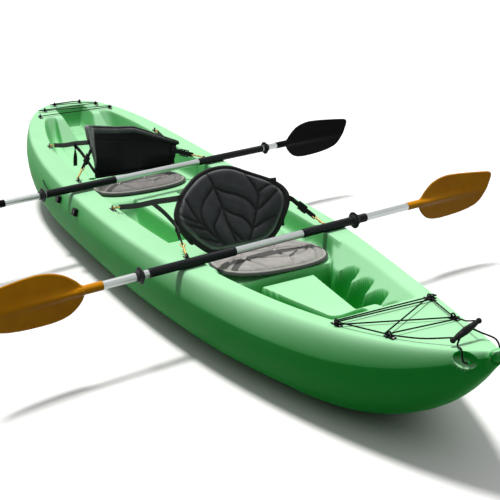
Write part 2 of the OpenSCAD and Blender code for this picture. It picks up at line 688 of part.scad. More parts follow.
// Lean of the hull's side at the brackets
function keeper_lean(x) = atan((side_half(x, keeper_z - 8) - side_half(x, keeper_z + 8)) / 16);
module at_keeper(side) {
    for (x = keeper_x)
        translate([x, side * (keeper_y(x) + clear), keeper_z]) scale([1, side, 1])
            rotate([keeper_lean(x), 0, 0]) children();
}
module keeper_brackets() {
    color(black) for (side = [-1, 1]) at_keeper(side) difference() {
        translate([-bracket.x / 2, 0, -bracket.z / 2]) cube(bracket);
        translate([0, bracket.y - 5, 0]) rotate([-90, 0, 0]) cylinder(r = 6, h = 10, $fn = 24);
        translate([0, -5, 0]) rotate([-90, 0, 0]) cylinder(r = 2.6, h = 40, $fn = 24);
    }
}
module keeper_screws() {
    color(silver) for (side = [-1, 1]) at_keeper(side) {
        translate([0, bracket.y - 4.9, 0]) rotate([-90, 0, 0]) cylinder(r = 5.4, h = 3, $fn = 24);
        translate([0, 0.2, 0]) rotate([-90, 0, 0]) cylinder(r = 2.5, h = bracket.y - 4, $fn = 24);
    }
}
keeper_mid_x = mix(keeper_eye_x, keeper_x[0], 0.5);
function keeper_route(side) = [
    [keeper_eye_x, side * (keeper_y(keeper_eye_x) + cord_d / 2 + 1), keeper_z + 16],
    [keeper_mid_x, side * (keeper_y(keeper_mid_x) + cord_d / 2 + 4), keeper_z + 6],
    [keeper_x[0] - bracket.x / 2 - 0.4, side * (keeper_y(keeper_x[0]) + bracket.y * 0.6), keeper_z]];
module keeper_cord_port() {
    color(black) cord(curve(keeper_route(1), 6), cord_d);
}
module keeper_cord_starboard() {
    color(black) cord(curve(keeper_route(-1), 6), cord_d);
}

// Paddles: laid across the gunwales, each turned a little about the upright
grip_r = shaft_r + grip_thick;
front_place = [front_seat_x + 9, 12];
rear_place = [rear_seat_x + 174, 3];
front_turn = 4.75;
rear_turn = 7.1;
// The grips and drip rings keep their distance from the blades' necks
front_grip_end = neck_at(front_paddle_length) - 180;
rear_grip_end = neck_at(rear_paddle_length) - 110;
grip_span = [145, front_grip_end];
rear_grip_span = [255, rear_grip_end];
// The front paddle's port ring sits this far outboard of the deck's edge
ring_outboard = 34;
front_rings_at = [-front_grip_end - 35, deck_half_max + ring_outboard];
rear_rings_at = [-rear_grip_end - 20, rear_grip_end + 20];
function rest_height(place, turn) = let (dx = deck_half_max * tan(turn))
    max(deck_z(place.x - dx), deck_z(place.x + dx)) + grip_r + clear;
module at_paddle(place, turn) {
    translate([place.x, place.y, rest_height(place, turn)]) rotate([0, 0, turn]) children();
}
module front_set() {
    at_paddle(front_place, front_turn) children();
}
module rear_set() {
    at_paddle(rear_place, rear_turn) children();
}
bore_r = shaft_r - shaft_wall;
ferrule_r = bore_r - running_fit;
ferrule_wall = 2;
ferrule_span = [-95, 60];
button_at = -45;
button_tilt = 62;
neck_length = 60;
function neck_at(length) = length / 2 - blade_length;
module tube_along(lo, hi, r_out, r_in) {
    translate([0, lo, 0]) rotate([-90, 0, 0]) difference() {
        cylinder(r = r_out, h = hi - lo, $fn = 48);
        translate([0, 0, -1]) cylinder(r = r_in, h = hi - lo + 2, $fn = 48);
    }
}
// Radial axis of the locking button
module button_axis() {
    translate([0, button_at, 0]) rotate([0, button_tilt, 0]) children();
}
module shaft_half(length, side) {
    color(silver)
        if (side > 0) tube_along(clear, neck_at(length) + neck_length, shaft_r, bore_r);
        else difference() {
            tube_along(-neck_at(length) - neck_length, 0, shaft_r, bore_r);
            button_axis() cylinder(r = button_r + running_fit, h = 30, $fn = 32);
        }
}
module ferrule() {
    color(silver) difference() {
        tube_along(ferrule_span[0], ferrule_span[1], ferrule_r, ferrule_r - ferrule_wall);
        button_axis() cylinder(r = button_r + running_fit, h = 30, $fn = 32);
    }
}
button_step = ferrule_r - ferrule_wall - 1.9;
module button() {
    color(silver) button_axis() {
        translate([0, 0, button_step]) cylinder(r = button_r, h = shaft_r + 2.5 - button_step, $fn = 32);
    }
}
// Leaf spring under the button: a bent strip held by the ferrule's far wall
spring_thick = 0.8;
module button_spring() {
    color(silver) button_axis() {
        translate([-3, -9, button_step - spring_thick - 0.05]) cube([6, 34, spring_thick]);
        translate([-3, 24.2, -(ferrule_r - ferrule_wall) * 0.9])
            cube([6, spring_thick, button_step + (ferrule_r - ferrule_wall) * 0.9 - 0.05]);
        translate([-3, -9, -(ferrule_r - ferrule_wall) * 0.9]) cube([6, 34, spring_thick]);
    }
}
module grips(span) {
    color(black) {
        tube_along(-span[1], -span[0], grip_r, shaft_r);
        tube_along(span[0], span[1], grip_r, shaft_r);
    }
}
// A drip ring: a rubber collar with a flared cup
module drip_rings(at, on_grip) {
    color(black) for (i = [0, 1]) {
        r_in = (on_grip[i] ? grip_r : shaft_r) + running_fit;
        translate([0, at[i], 0]) rotate([-90, 0, 0]) rotate_extrude($fn = 48)
            polygon([[r_in, -14], [r_in + 4, -14], [r_in + 5, -4], [r_in + 15, -3], [r_in + 15, 1],
                [r_in + 5, 4], [r_in + 4, 14], [r_in, 14]]);
    }
}
// A blade: an asymmetric spoon with a rib down its middle, made on the port end and turned for the other
blade_grid = [14, 10];
function blade_upper(t) = pow(sin(180 * pow(t, 0.62) * 0.5 + 4), 0.8) * pow(max(0, 1 - pow(t, 9)), 0.45);
function blade_lower(t) = pow(sin(180 * pow(t, 0.75) * 0.5 + 4), 0.9) * pow(max(0, 1 - pow(t * 1.02, 5)), 0.5);
function blade_spoon(t) = 26 * t * t;
module blade_body(length) {
    start = neck_at(length);
    function grid(face) = [for (i = [0 : blade_grid.x]) [for (j = [0 : blade_grid.y]) let (
        t = 0.02 + 0.96 * i / blade_grid.x, s = 2 * j / blade_grid.y - 1,
        w = s > 0 ? blade_upper(t) : blade_lower(t),
        z = s * blade_width / 2 * max(w, 0.16),
        rib = (shaft_r + 1) * exp(-pow(z / 16, 2)) * pow(1 - t, 0.8),
        x = blade_spoon(t) - 8 * s * s + face * (blade_thick / 2 * (1 - 0.5 * s * s) + rib))
        [x, start + 34 + t * (blade_length - 34), z]]];
    slab(grid(-1), grid(1));
}
module blade(length, side, tone) {
    color(tone) rotate([side > 0 ? 0 : 180, 0, 0]) scale([1, 1, side]) difference() {
        union() {
            blade_body(length);
            translate([0, neck_at(length) - 26, 0]) rotate([-90, 0, 0])
                cylinder(r = shaft_r + 2.6, h = 88, $fn = 48);
        }
        translate([0, neck_at(length) - 30, 0]) rotate([-90, 0, 0])
            cylinder(r = shaft_r + running_fit, h = 30 + neck_length + 1, $fn = 48);
    }
}
module front_blade_port() {
    front_set() blade(front_paddle_length, 1, amber);
}
module front_blade_starboard() {
    front_set() blade(front_paddle_length, -1, amber);
}
module front_shaft_port() {
    front_set() shaft_half(front_paddle_length, 1);
}
module front_shaft_starboard() {
    front_set() shaft_half(front_paddle_length, -1);
}
module front_ferrule() {
    front_set() ferrule();
}
module front_grips() {
    front_set() grips(grip_span);
}
module front_drip_rings() {
    front_set() drip_rings(front_rings_at, [false, true]);
}
module front_button() {
    front_set() button();
}
module front_button_spring() {
    front_set() button_spring();
}
module rear_blade_port() {
    rear_set() blade(rear_paddle_length, 1, black);
}
module rear_blade_starboard() {
    rear_set() blade(rear_paddle_length, -1, black);
}
module rear_shaft_port() {
    rear_set() shaft_half(rear_paddle_length, 1);
}
module rear_shaft_starboard() {
    rear_set() shaft_half(rear_paddle_length, -1);
}
module rear_ferrule() {
    rear_set() ferrule();
}
module rear_grips() {
    rear_set() grips(rear_grip_span);
}
module rear_drip_rings() {
    rear_set() drip_rings(rear_rings_at, [false, false]);
}
module rear_button() {
    rear_set() button();
}
module rear_button_spring() {
    rear_set() button_spring();
}

hull_shell();
drain_gasket();
drain_plug();
front_seat_pad();
rear_seat_pad();
front_backrest();
rear_backrest();
front_fore_strap_port();
front_fore_strap_starboard();
front_aft_strap_port();
front_aft_strap_starboard();
rear_fore_strap_port();
rear_fore_strap_starboard();
rear_aft_strap_port();
rear_aft_strap_starboard();
front_snap_hooks();
rear_snap_hooks();
front_strap_buckles();
rear_strap_buckles();
bow_pad_eyes();
seat_pad_eyes();
stern_pad_eyes();
pad_eye_rivets();
bow_shock_cord();
stern_shock_cord();
bow_toggle();
bow_toggle_rope();
keeper_brackets();
keeper_screws();
keeper_cord_port();
keeper_cord_starboard();
front_blade_port();
front_blade_starboard();
front_shaft_port();
front_shaft_starboard();
front_ferrule();
front_grips();
front_drip_rings();
front_button();
front_button_spring();
rear_blade_port();
rear_blade_starboard();
rear_shaft_port();
rear_shaft_starboard();
rear_ferrule();
rear_grips();
rear_drip_rings();
rear_button();
rear_button_spring();
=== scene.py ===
import math

import bpy
import numpy as np
from mathutils import Matrix, Vector


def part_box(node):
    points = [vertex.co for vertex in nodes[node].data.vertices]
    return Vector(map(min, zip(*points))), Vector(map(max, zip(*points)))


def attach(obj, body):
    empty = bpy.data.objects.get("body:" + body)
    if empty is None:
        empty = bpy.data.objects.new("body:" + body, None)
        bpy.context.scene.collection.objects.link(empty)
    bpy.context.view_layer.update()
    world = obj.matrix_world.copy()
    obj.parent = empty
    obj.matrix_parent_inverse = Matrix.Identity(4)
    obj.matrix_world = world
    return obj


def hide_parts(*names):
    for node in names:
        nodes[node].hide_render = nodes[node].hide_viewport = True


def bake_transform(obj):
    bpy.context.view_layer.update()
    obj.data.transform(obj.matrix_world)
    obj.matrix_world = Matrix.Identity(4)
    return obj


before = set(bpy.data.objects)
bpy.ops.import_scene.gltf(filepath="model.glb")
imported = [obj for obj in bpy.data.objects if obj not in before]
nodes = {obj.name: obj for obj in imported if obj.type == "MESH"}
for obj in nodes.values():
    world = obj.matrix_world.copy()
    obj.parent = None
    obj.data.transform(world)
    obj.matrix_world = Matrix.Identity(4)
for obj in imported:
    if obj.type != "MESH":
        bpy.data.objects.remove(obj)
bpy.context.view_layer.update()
scene = bpy.context.scene

# Camera: it stands off the starboard bow at head height and looks aft and down along the boat.
# The lens and the small shift give the photograph's square frame.
frame_px = 500
focal_px = 949.76
centre_px = (274.54, 225.86)
eye = Vector((3.4631, -1.4922, 1.4779))
yaw, pitch, roll = 2.65288, -0.32912, -0.03945
ahead = Vector((math.cos(pitch) * math.cos(yaw), math.cos(pitch) * math.sin(yaw), math.sin(pitch)))
level = ahead.cross(Vector((0, 0, 1))).normalized()
upright = level.cross(ahead)
right = level * math.cos(roll) + upright * math.sin(roll)
up = upright * math.cos(roll) - level * math.sin(roll)
bpy.ops.object.camera_add()
camera = bpy.context.object
camera.matrix_world = Matrix.Translation(eye) @ Matrix((right, up, -ahead)).transposed().to_4x4()
sensor_mm = 36
camera.data.sensor_width = sensor_mm
camera.data.lens = sensor_mm * focal_px / frame_px
camera.data.shift_x = 0.5 - centre_px[0] / frame_px
camera.data.shift_y = centre_px[1] / frame_px - 0.5
scene.camera = camera

# Hull: one rotomoulded polyethylene shell, green all through, with the deck, footwells, stern trough
# and side pockets moulded in one with the bottom. Scupper holes run from the floors to the bottom.
hull_length, deck_width, side_bulge = 3.66, 0.716, 0.067
gunwale_height, bow_rise, stern_rise = 0.291, 0.102, 0.150
stem_rise, post_rise, stem_half = 0.354, 0.300, 0.014
gunwale_width, seat_floor, foot_floor = 0.065, 0.205, 0.090
half_length = hull_length / 2
widest_at, part_share = -0.17, 0.71
stem_start, post_start = half_length - 0.650, half_length - 0.580


def share(x, low, high):
    return np.clip((x - low) / (high - low), 0, 1)


def ease(x, low, high):
    t = share(x, low, high)
    return t * t * (3 - 2 * t)


def mix(a, b, t):
    return a + (b - a) * t


def soft_min(a, b, k):
    return np.minimum(a, b) - np.maximum(k - np.abs(a - b), 0) ** 2 / (4 * k)


def soft_max(a, b, k):
    return -soft_min(-a, -b, k)


def deck_half(x):
    u = np.clip(x / half_length, -0.9985, 0.9985)
    fore, aft = share(u, widest_at, 1), share(-u, -widest_at, 1)
    plan = np.where(u > widest_at, (1 - fore ** 2.62) ** 0.91, (1 - aft ** 2.88) ** 0.42)
    return np.maximum(stem_half, deck_width / 2 * plan)


def sheer(x):
    u = np.abs(x) / half_length
    return gunwale_height + np.where(x > 0, bow_rise * u ** 5, stern_rise * u ** 2.2)


def keel(x):
    return stem_rise * share(x, stem_start, half_length) ** 2.4 + post_rise * share(-x, post_start, half_length) ** 2.6


def waist_at(x):
    """Height of the parting line, where the side is widest."""
    return mix(keel(x), sheer(x), part_share)


def tub_half(x):
    return deck_half(x) - gunwale_width


# Places of the cockpit along the boat
bow_deck_x, console_x, cockpit_aft_x = 1.255, 0.742, -1.050
mid_well_lo, mid_well_hi, front_pan_x = -0.505, 0.130, 0.480
trough_aft_x, pocket_aft_x, tongue_x = -1.755, -1.625, -1.410
console_half, console_tip_half, trough_half, ridge_in = 0.105, 0.024, 0.070, 0.125
brace_x, brace_pitch, seat_step, riser_x = 0.900, 0.118, 0.016, 0.704
# Lean of the cockpit's walls: how far each steps in for its height
tub_lean, console_lean, heel_lean, mid_lean, trough_lean, pocket_lean = 0.24, 0.12, 0.16, 0.17, 0.34, 0.22


def console_edge(x):
    return mix(console_half, console_tip_half, share(x, console_x, bow_deck_x))


def deck_surface(x, y):
    """Height of the moulded deck at x and at distance y from the centreline."""
    top = sheer(x)
    side = tub_half(x)
    round_edge, round_floor = 0.008, 0.030

    # Seat pans: one tub with steep sides, a floor that ramps up to the bow deck and sloped stern ends
    console_top = seat_floor + 0.020 * share(x, console_x, 1.13)
    ramp = mix(console_top, top + 0.006, ease(x, 1.08, bow_deck_x + 0.04))
    ramp = ramp + seat_step * ease(x, front_pan_x - 0.06, front_pan_x) * (x < riser_x + 0.02)
    steep = top - (side - y) / tub_lean
    floor_aft = seat_floor + 0.15 * np.maximum(0, cockpit_aft_x - x)
    rise_aft = soft_max(floor_aft, seat_floor + 0.046 + 0.85 * (tongue_x - x), 0.02)
    tub = soft_max(soft_max(ramp, steep, round_floor), rise_aft, 0.03)

    # Front footwells beside the console and the heel trench that parts it from the seat
    well_floor = foot_floor + 0.11 * share(x, bow_deck_x - 0.20, bow_deck_x) ** 2
    console_side = soft_min(ramp - (y - console_edge(x)) / console_lean,
                            ramp - (console_x - x) / console_lean, 0.012)
    heel_wall = seat_floor + seat_step - (x - riser_x) / heel_lean
    toe_wall = top + (x - bow_deck_x - 0.03) / 0.45
    front_well = soft_max(soft_max(well_floor, console_side, 0.03), soft_max(heel_wall, toe_wall, 0.03), 0.03)

    # Leaning outer wall of the front footwells, with pockets scooped out of it as foot braces
    inboard = side - y
    phase = (x - brace_x + 20 * np.maximum(0, inboard - 0.040) ** 2) / brace_pitch + 1
    cell = phase - np.floor(phase)
    arch = side - 0.020 - 0.040 * (1 - cell) ** 3
    pocket_wall = top - 0.042 - (arch - y) / console_lean
    leaning = top - 1.05 * (inboard + 0.014) - 3.0 * np.maximum(0, inboard - 0.055)
    open_share = ease(np.minimum(cell, 1 - cell), 0.012, 0.085) * ((phase > 0) & (phase < 4))
    leaning = mix(leaning, np.minimum(leaning, pocket_wall), open_share)
    crease = ease(x - 1.55 * (0.285 - y), 0.560, 0.590)

    # Rear paddler's footwells
    mid_step = 0.028
    mid_side = seat_floor - (y - console_half) / mid_lean
    mid_out = seat_floor - (side - 0.030 - y) / mid_lean
    mid_ends = seat_floor - np.minimum((x - mid_well_lo) / 0.90, (mid_well_hi - x) / 0.20)
    mid_well = soft_max(soft_max(foot_floor + mid_step, mid_ends, 0.06), soft_max(mid_side, mid_out, 0.03), 0.05)

    # Stern trough and the bowl-shaped pockets on both sides of it
    trough_floor = mix(seat_floor, sheer(trough_aft_x) - 0.110, share(x, cockpit_aft_x, trough_aft_x))
    trough = soft_max(soft_max(trough_floor, top - (trough_half + 0.014 - y) / trough_lean, 0.03),
                      top - (x - trough_aft_x) / 0.25, 0.04)
    along = share(x, cockpit_aft_x, pocket_aft_x)
    pocket_in = ridge_in - 0.012 + 0.012 * along
    pocket = soft_max(soft_max(floor_aft, top - (y - pocket_in) / pocket_lean, 0.04),
                      soft_max(top - (side + 0.012 - y) / trough_lean, top - (x - pocket_aft_x) / 0.75, 0.06), 0.05)

    open_deck = soft_min(soft_min(tub, front_well, 0.016), mid_well, 0.016)
    with_lean = soft_max(open_deck, leaning, 0.02)
    cockpit = mix(open_deck, with_lean, crease)
    stern = soft_min(trough, pocket, 0.02)
    cockpit = soft_min(cockpit, np.where(x < cockpit_aft_x + 0.02, stern, 1.0), 0.02)
    return soft_min(cockpit, top, round_edge)


def hull_rows():
    """Stations along the boat, closer together at the ends of the recesses."""
    coarse, fine = 0.0140, 0.0090
    x = np.linspace(-half_length, half_length, 4001)
    dense = 1 / coarse
    for place, reach in ((trough_aft_x, 0.03), (pocket_aft_x, 0.05), (cockpit_aft_x - 0.15, 0.10), (mid_well_lo, 0.03),
                         (mid_well_hi, 0.03), (console_x, 0.03), (0.97, 0.24), (1.02, 0.20), (bow_deck_x, 0.04),
                         (-half_length, 0.06), (half_length, 0.10)):
        dense = dense + 1 / fine * np.exp(-((x - place) / reach) ** 2)
    count = np.concatenate([[0], np.cumsum((dense[1:] + dense[:-1]) / 2 * np.diff(x))])
    return np.interp(np.linspace(0, count[-1], int(count[-1])), count, x)


def deck_columns(x):
    """Distances from the centreline at station x, gathered at the console and at the tub wall."""
    half = deck_half(x)
    wall_top = max(half - gunwale_width, 0.6 * half)
    wall_foot = wall_top - min(0.052, 0.3 * wall_top)
    inner = mix(trough_half, console_edge(x), ease(x, cockpit_aft_x - 0.05, cockpit_aft_x + 0.05))
    inner = min(inner, 0.5 * wall_foot)
    knots = [(0, 0), (inner - min(0.02, inner / 3), 12), (inner + min(0.02, inner / 3), 13), (wall_foot, 22),
             (wall_top + min(0.012, 0.1 * half), 18), (half, 10)]
    parts = [np.linspace(a, b, n + 1)[1:] for (a, _), (b, n) in zip(knots, knots[1:])]
    return np.concatenate([[0.0], *parts])


shoulder = 0.42


def bulge(x):
    """How far the waist stands out beyond the edge of the deck."""
    return side_bulge * (deck_half(x) / (deck_width / 2)) ** 0.6


def flank(x, t):
    """Half width of the side at share t of the way up from the waist to the gunwale."""
    return deck_half(x) + bulge(x) * (1 - shoulder * t ** 1.6)


def hull_ring(x):
    """Half a section, from the keel up the side and across the deck to the centreline."""
    half, base, out = float(deck_half(x)), float(keel(x)), float(bulge(x))
    top = max(float(sheer(x)), base + 0.004)
    waist = mix(base, top, part_share)
    full = 2 / mix(3.4, 1.9, float(share(abs(x / half_length), 0.45, 1)))
    angle = np.radians(90 * (1 - np.linspace(0, 1, 15)) ** 1.15)
    below = np.stack([(half + out) * np.cos(angle) ** full, waist - (waist - base) * np.sin(angle) ** full], 1)
    below[0] = (0, base)
    below[1] = (0.3 * below[2, 0], base)

    # Toward the bow the side is creased at the waist; elsewhere it is a flat flank with a small round at the gunwale
    angle = np.radians(np.linspace(0, 90, 15)[1:-1])
    bow_side = np.stack([half + out * np.cos(angle), waist + (top - waist) * np.sin(angle) ** 1.75], 1)
    t = np.array([0.12, 0.25, 0.38, 0.50, 0.62, 0.72, 0.80, 0.86])
    wall = np.stack([flank(x, t), mix(waist, top, t)], 1)
    edge, u = np.array([flank(x, 1.0), top]), np.array([[0.2], [0.4], [0.6], [0.8], [1.0]])
    rounded = (1 - u) ** 2 * wall[-1] + 2 * u * (1 - u) * edge + u ** 2 * (edge - (0.18 * out, 0))
    above = mix(np.concatenate([wall, rounded]), bow_side, ease(x, 0.3, 1.1))
    y = deck_columns(x)[::-1]
    return np.concatenate([below, above, np.stack([y, deck_surface(x, y)], 1)])


def add_mesh(name, points, faces):
    mesh = bpy.data.meshes.new(name)
    mesh.from_pydata([tuple(p) for p in points], [], faces)
    piece = bpy.data.objects.new(name, mesh)
    scene.collection.objects.link(piece)
    return piece


def pick(*pieces):
    """Makes some pieces the only ones that operators act on."""
    bpy.ops.object.select_all(action="DESELECT")
    for piece in pieces:
        piece.select_set(True)
    bpy.context.view_layer.objects.active = pieces[0]


def join(pieces, name):
    pick(*pieces)
    bpy.ops.object.join()
    pieces[0].name = pieces[0].data.name = name
    return pieces[0]


def on_all_faces(operate, **settings):
    """Runs a mesh operator on the whole of the active piece."""
    bpy.ops.object.mode_set(mode="EDIT")
    bpy.ops.mesh.select_all(action="SELECT")
    operate(**settings)
    bpy.ops.object.mode_set(mode="OBJECT")


def face_out(piece):
    """Turns every face of a closed piece outwards."""
    pick(piece)
    on_all_faces(bpy.ops.mesh.normals_make_consistent, inside=False)


def smooth(piece, angle=40):
    """Shades a piece smooth except at edges sharper than an angle in degrees."""
    pick(piece)
    bpy.ops.object.shade_smooth_by_angle(angle=math.radians(angle))


def solid(shape, **settings):
    """One of Blender's ready-made solids, its place, turn and scale written into its mesh."""
    getattr(bpy.ops.mesh, f"primitive_{shape}_add")(**settings)
    bpy.ops.object.transform_apply(location=True, rotation=True, scale=True)
    return bpy.context.object


def mark(piece, name, values):
    """Keeps a number for each point of a piece, for its material."""
    piece.data.attributes.new(name, "FLOAT", "POINT").data.foreach_set("value", values.astype(np.float32))


def loft_hull():
    stations = hull_rows()
    end_round = 0.012
    rings = []
    for x in stations:
        half = hull_ring(x)
        port = np.column_stack([np.full(len(half), x), half])
        rings.append(np.concatenate([port, port[-2:0:-1] * (1, -1, 1)]))

    # Both ends close in a small round
    for at, sign in ((0, -1), (-1, 1)):
        ring = rings[at]
        middle = ring.mean(0)
        capped = []
        for turn in np.radians((35, 65, 88)):
            inset = end_round * (1 - math.cos(turn))
            shrunk = middle + (ring - middle) * (1 - inset / max(stem_half, abs(ring[:, 1]).max()))
            shrunk[:, 0] = ring[0, 0] - sign * end_round * (1 - math.sin(turn))
            capped.append(shrunk)
        ring[:, 0] -= sign * end_round
        rings = capped[::-1] + rings if sign < 0 else rings + capped
    n = len(rings[0])
    points = np.concatenate(rings)
    faces = [(i * n + j, (i + 1) * n + j, (i + 1) * n + (j + 1) % n, i * n + (j + 1) % n)
             for i in range(len(rings) - 1) for j in range(n)]
    faces += [tuple(range(n)), tuple(range(len(points) - 1, len(points) - n - 1, -1))]
    return add_mesh("hull", points, faces)


hull = loft_hull()
face_out(hull)

# Cutters for what the moulder trims and drills: scuppers, rope scoops with their tunnel, drain recess
tunnel_x = half_length - 0.062
tunnel_z = float(sheer(tunnel_x)) - 0.034
tunnel_beam, tunnel_r, tunnel_long = 0.0498, 0.0034, 0.1
scupper_r, scupper_long, drain_r = 0.019, 0.5, 0.0235
drain_x = -half_length + 0.235
drain_y, drain_deep = float(flank(drain_x, 0.0)) - 0.004, 0.04
across = (math.pi / 2, 0, 0)
cutters = []
for side in (-1, 1):
    cutters += [solid("cylinder", vertices=40, radius=scupper_r, depth=scupper_long, location=(x, side * y, 0.15))
                for x, y in ((console_x + 0.260, 0.115), (mid_well_lo + 0.300, 0.180), (cockpit_aft_x + 0.090, 0.150))]
    cutters.append(solid("uv_sphere", segments=48, ring_count=24, radius=1, scale=(0.048, 0.024, 0.026),
                         location=(tunnel_x + 0.006, side * (tunnel_beam + 0.006), tunnel_z + 0.008)))
cutters.append(solid("cylinder", vertices=24, radius=tunnel_r, depth=tunnel_long, rotation=across,
                     location=(tunnel_x, 0, tunnel_z)))
cutters.append(solid("cylinder", vertices=48, radius=drain_r, depth=drain_deep, rotation=across,
                     location=(drain_x, drain_y + drain_deep / 2, float(waist_at(drain_x)))))
cutter = join(cutters, "cutters")
pick(hull)
trim = hull.modifiers.new("trim", "BOOLEAN")
trim.object, trim.operation, trim.solver = cutter, "DIFFERENCE", "MANIFOLD"
bpy.ops.object.modifier_apply(modifier="trim")
bpy.data.objects.remove(cutter)
smooth(hull, 38)


class Value:
    """A shader socket that sums can be written with."""

    def __init__(self, tree, socket):
        self.tree, self.socket = tree, socket

    def node(self, kind, inputs, output=0, stops=None, **settings):
        made = self.tree.nodes.new(kind)
        for name, setting in settings.items():
            setattr(made, name, setting)
        if stops:
            ramp = made.color_ramp
            while len(ramp.elements) < len(stops):
                ramp.elements.new(1)
            for element, (place, colour) in zip(ramp.elements, stops):
                element.position = place
                element.color = colour
        for name, given in inputs.items():
            if isinstance(given, Value):
                self.tree.links.new(given.socket, made.inputs[name])
            else:
                made.inputs[name].default_value = given
        return Value(self.tree, made.outputs[output])

    def maths(self, operation, a, b=0.0):
        return self.node("ShaderNodeMath", {0: a, 1: b}, operation=operation)

    def __add__(self, other):
        return self.maths("ADD", self, other)

    def __sub__(self, other):
        return self.maths("SUBTRACT", self, other)

    def __rsub__(self, other):
        return self.maths("SUBTRACT", other, self)

    def __mul__(self, other):
        return self.maths("MULTIPLY", self, other)

    __radd__, __rmul__ = __add__, __mul__

    def sine(self):
        return self.maths("SINE", self)

    def kept(self, name):
        """A number kept for each point of the piece."""
        return self.node("ShaderNodeAttribute", {}, output="Fac", attribute_name=name)

    def clamp(self):
        return self.node("ShaderNodeClamp", {0: self})

    def blend(self, low, high):
        """A colour or number between low and high, by this value."""
        return self.node("ShaderNodeMix", {"Factor": self, "A": low, "B": high}, output=2, data_type="RGBA")

    def noise(self, scale, detail=4.0, roughness=0.5):
        return self.node("ShaderNodeTexNoise", {"Vector": self, "Scale": scale, "Detail": detail,
                                                "Roughness": roughness})

    def axis(self, name):
        return self.node("ShaderNodeSeparateXYZ", {0: self}, output=name)

    def ramp(self, *stops):
        grey = [(place, (value, value, value, 1)) for place, value in stops]
        return self.node("ShaderNodeValToRGB", {0: self}, stops=grey)

    def step(self, low, high):
        return self.ramp((low, 0), (high, 1))

    def bump(self, strength, distance):
        return self.node("ShaderNodeBump", {"Height": self, "Strength": strength, "Distance": distance})

    def weave(self, first, second, count):
        """Crossed threads along two axes."""
        return (self.axis(first) * count).sine() * (self.axis(second) * count).sine()


def srgb(red, green, blue):
    """Linear colour of a colour read off a screen, each part from 0 to 255."""
    parts = [c / 255 for c in (red, green, blue)]
    return tuple(c / 12.92 if c <= 0.04045 else ((c + 0.055) / 1.055) ** 2.4 for c in parts) + (1,)


def new_finish(name, coordinates="Object", **constants):
    """A material, its shader and a value that holds the surface's coordinates."""
    material = bpy.data.materials.new(name)
    material.use_nodes = True
    tree = material.node_tree
    shader = tree.nodes["Principled BSDF"]
    for socket, value in constants.items():
        shader.inputs[socket.replace("_", " ")].default_value = value
    return material, shader, Value(tree, tree.nodes.new("ShaderNodeTexCoord").outputs[coordinates])


def feed(shader, **values):
    for socket, value in values.items():
        value.tree.links.new(value.socket, shader.inputs[socket.replace("_", " ")])


def coat(piece, material):
    piece.data.materials.clear()
    piece.data.materials.append(material)


def mottled(name, grain, stops, dark, light, rough, wear=None, layers=None, relief=None, coordinates="Object",
            **constants):
    """A finish in two tones that follow a noise. Its roughness, a spread and a least value, follows the same
    noise or one of its own. From the coordinates and the noise, layers gives the amounts and tones of what lies
    over it, in order, and relief gives its normal."""
    material, shader, place = new_finish(name, coordinates, **constants)
    speck = place.noise(*grain)
    tone = (speck.step(*stops) if stops else speck).blend(srgb(*dark), srgb(*light))
    for amount, colour in layers(place, speck) if layers else ():
        tone = amount.blend(tone, srgb(*colour))
    worn = place.noise(*wear) if wear else speck
    feed(shader, Base_Color=tone, Roughness=worn * rough[0] + rough[1])
    if relief:
        feed(shader, Normal=relief(place, speck))
    return material


def dress(piece, finish, body, node, slot):
    """Gives a piece its finish, the body it rides on and the solid it stands for. Its slot is not used."""
    coat(piece, finish)
    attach(piece, body)
    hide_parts(node)


# Moulded green polyethylene: a painted highlight makes it paler where it faces up, a faint mottle, orange-peel skin,
# scuffs low down
facing, spot = np.empty((2, 3 * len(hull.data.vertices)))
hull.data.vertices.foreach_get("normal", facing)
hull.data.vertices.foreach_get("co", spot)
upward, (x, y, z) = facing[2::3], spot.reshape(-1, 3).T
# Painted highlight: paler where the surface faces up, less in the deep wells, weaker on the outer flanks aft, and a
# faint share over the cockpit aft of the front seat
painted_glare = ease(upward, 0.0, 0.66) * mix(0.45, 1.0, share(z, 0.10, 0.20))
outside = (np.abs(y) > deck_half(x)) * ease(-x, -0.6, 0.3)
painted_glare = mix(painted_glare, ease(upward, 0.05, 0.85), outside)
indoors = (np.abs(y) < tub_half(x)) & (upward > -0.2) & (z > 0.08)
mark(hull, "up", np.maximum(painted_glare, 0.34 * indoors * ease(-x, -0.45, -0.25)))
# The pale mint layer is that painted highlight; the paler noise below it is real scuffing low down
hull_green = mottled(
    "hull_green", (3.0, 5.0, 0.6), (0.35, 0.7), (8, 165, 50), (20, 174, 62), (0.14, 0.46), wear=(24.0, 4.0, 0.6),
    layers=lambda place, mottle: (
        ((place.kept("up") * (mottle * 0.3 + 0.75)).clamp(), (172, 230, 182)),
        (place.noise(60.0, 6.0, 0.7).step(0.60, 0.74) * (1 - place.axis("Z") * 9.0).clamp() * 0.12, (170, 214, 176))),
    relief=lambda place, mottle: place.noise(420.0, 3.0, 0.5).bump(0.10, 0.002), IOR=1.46, Specular_IOR_Level=0.15)
dress(hull, hull_green, "hull", "hull_shell", "hull_green")

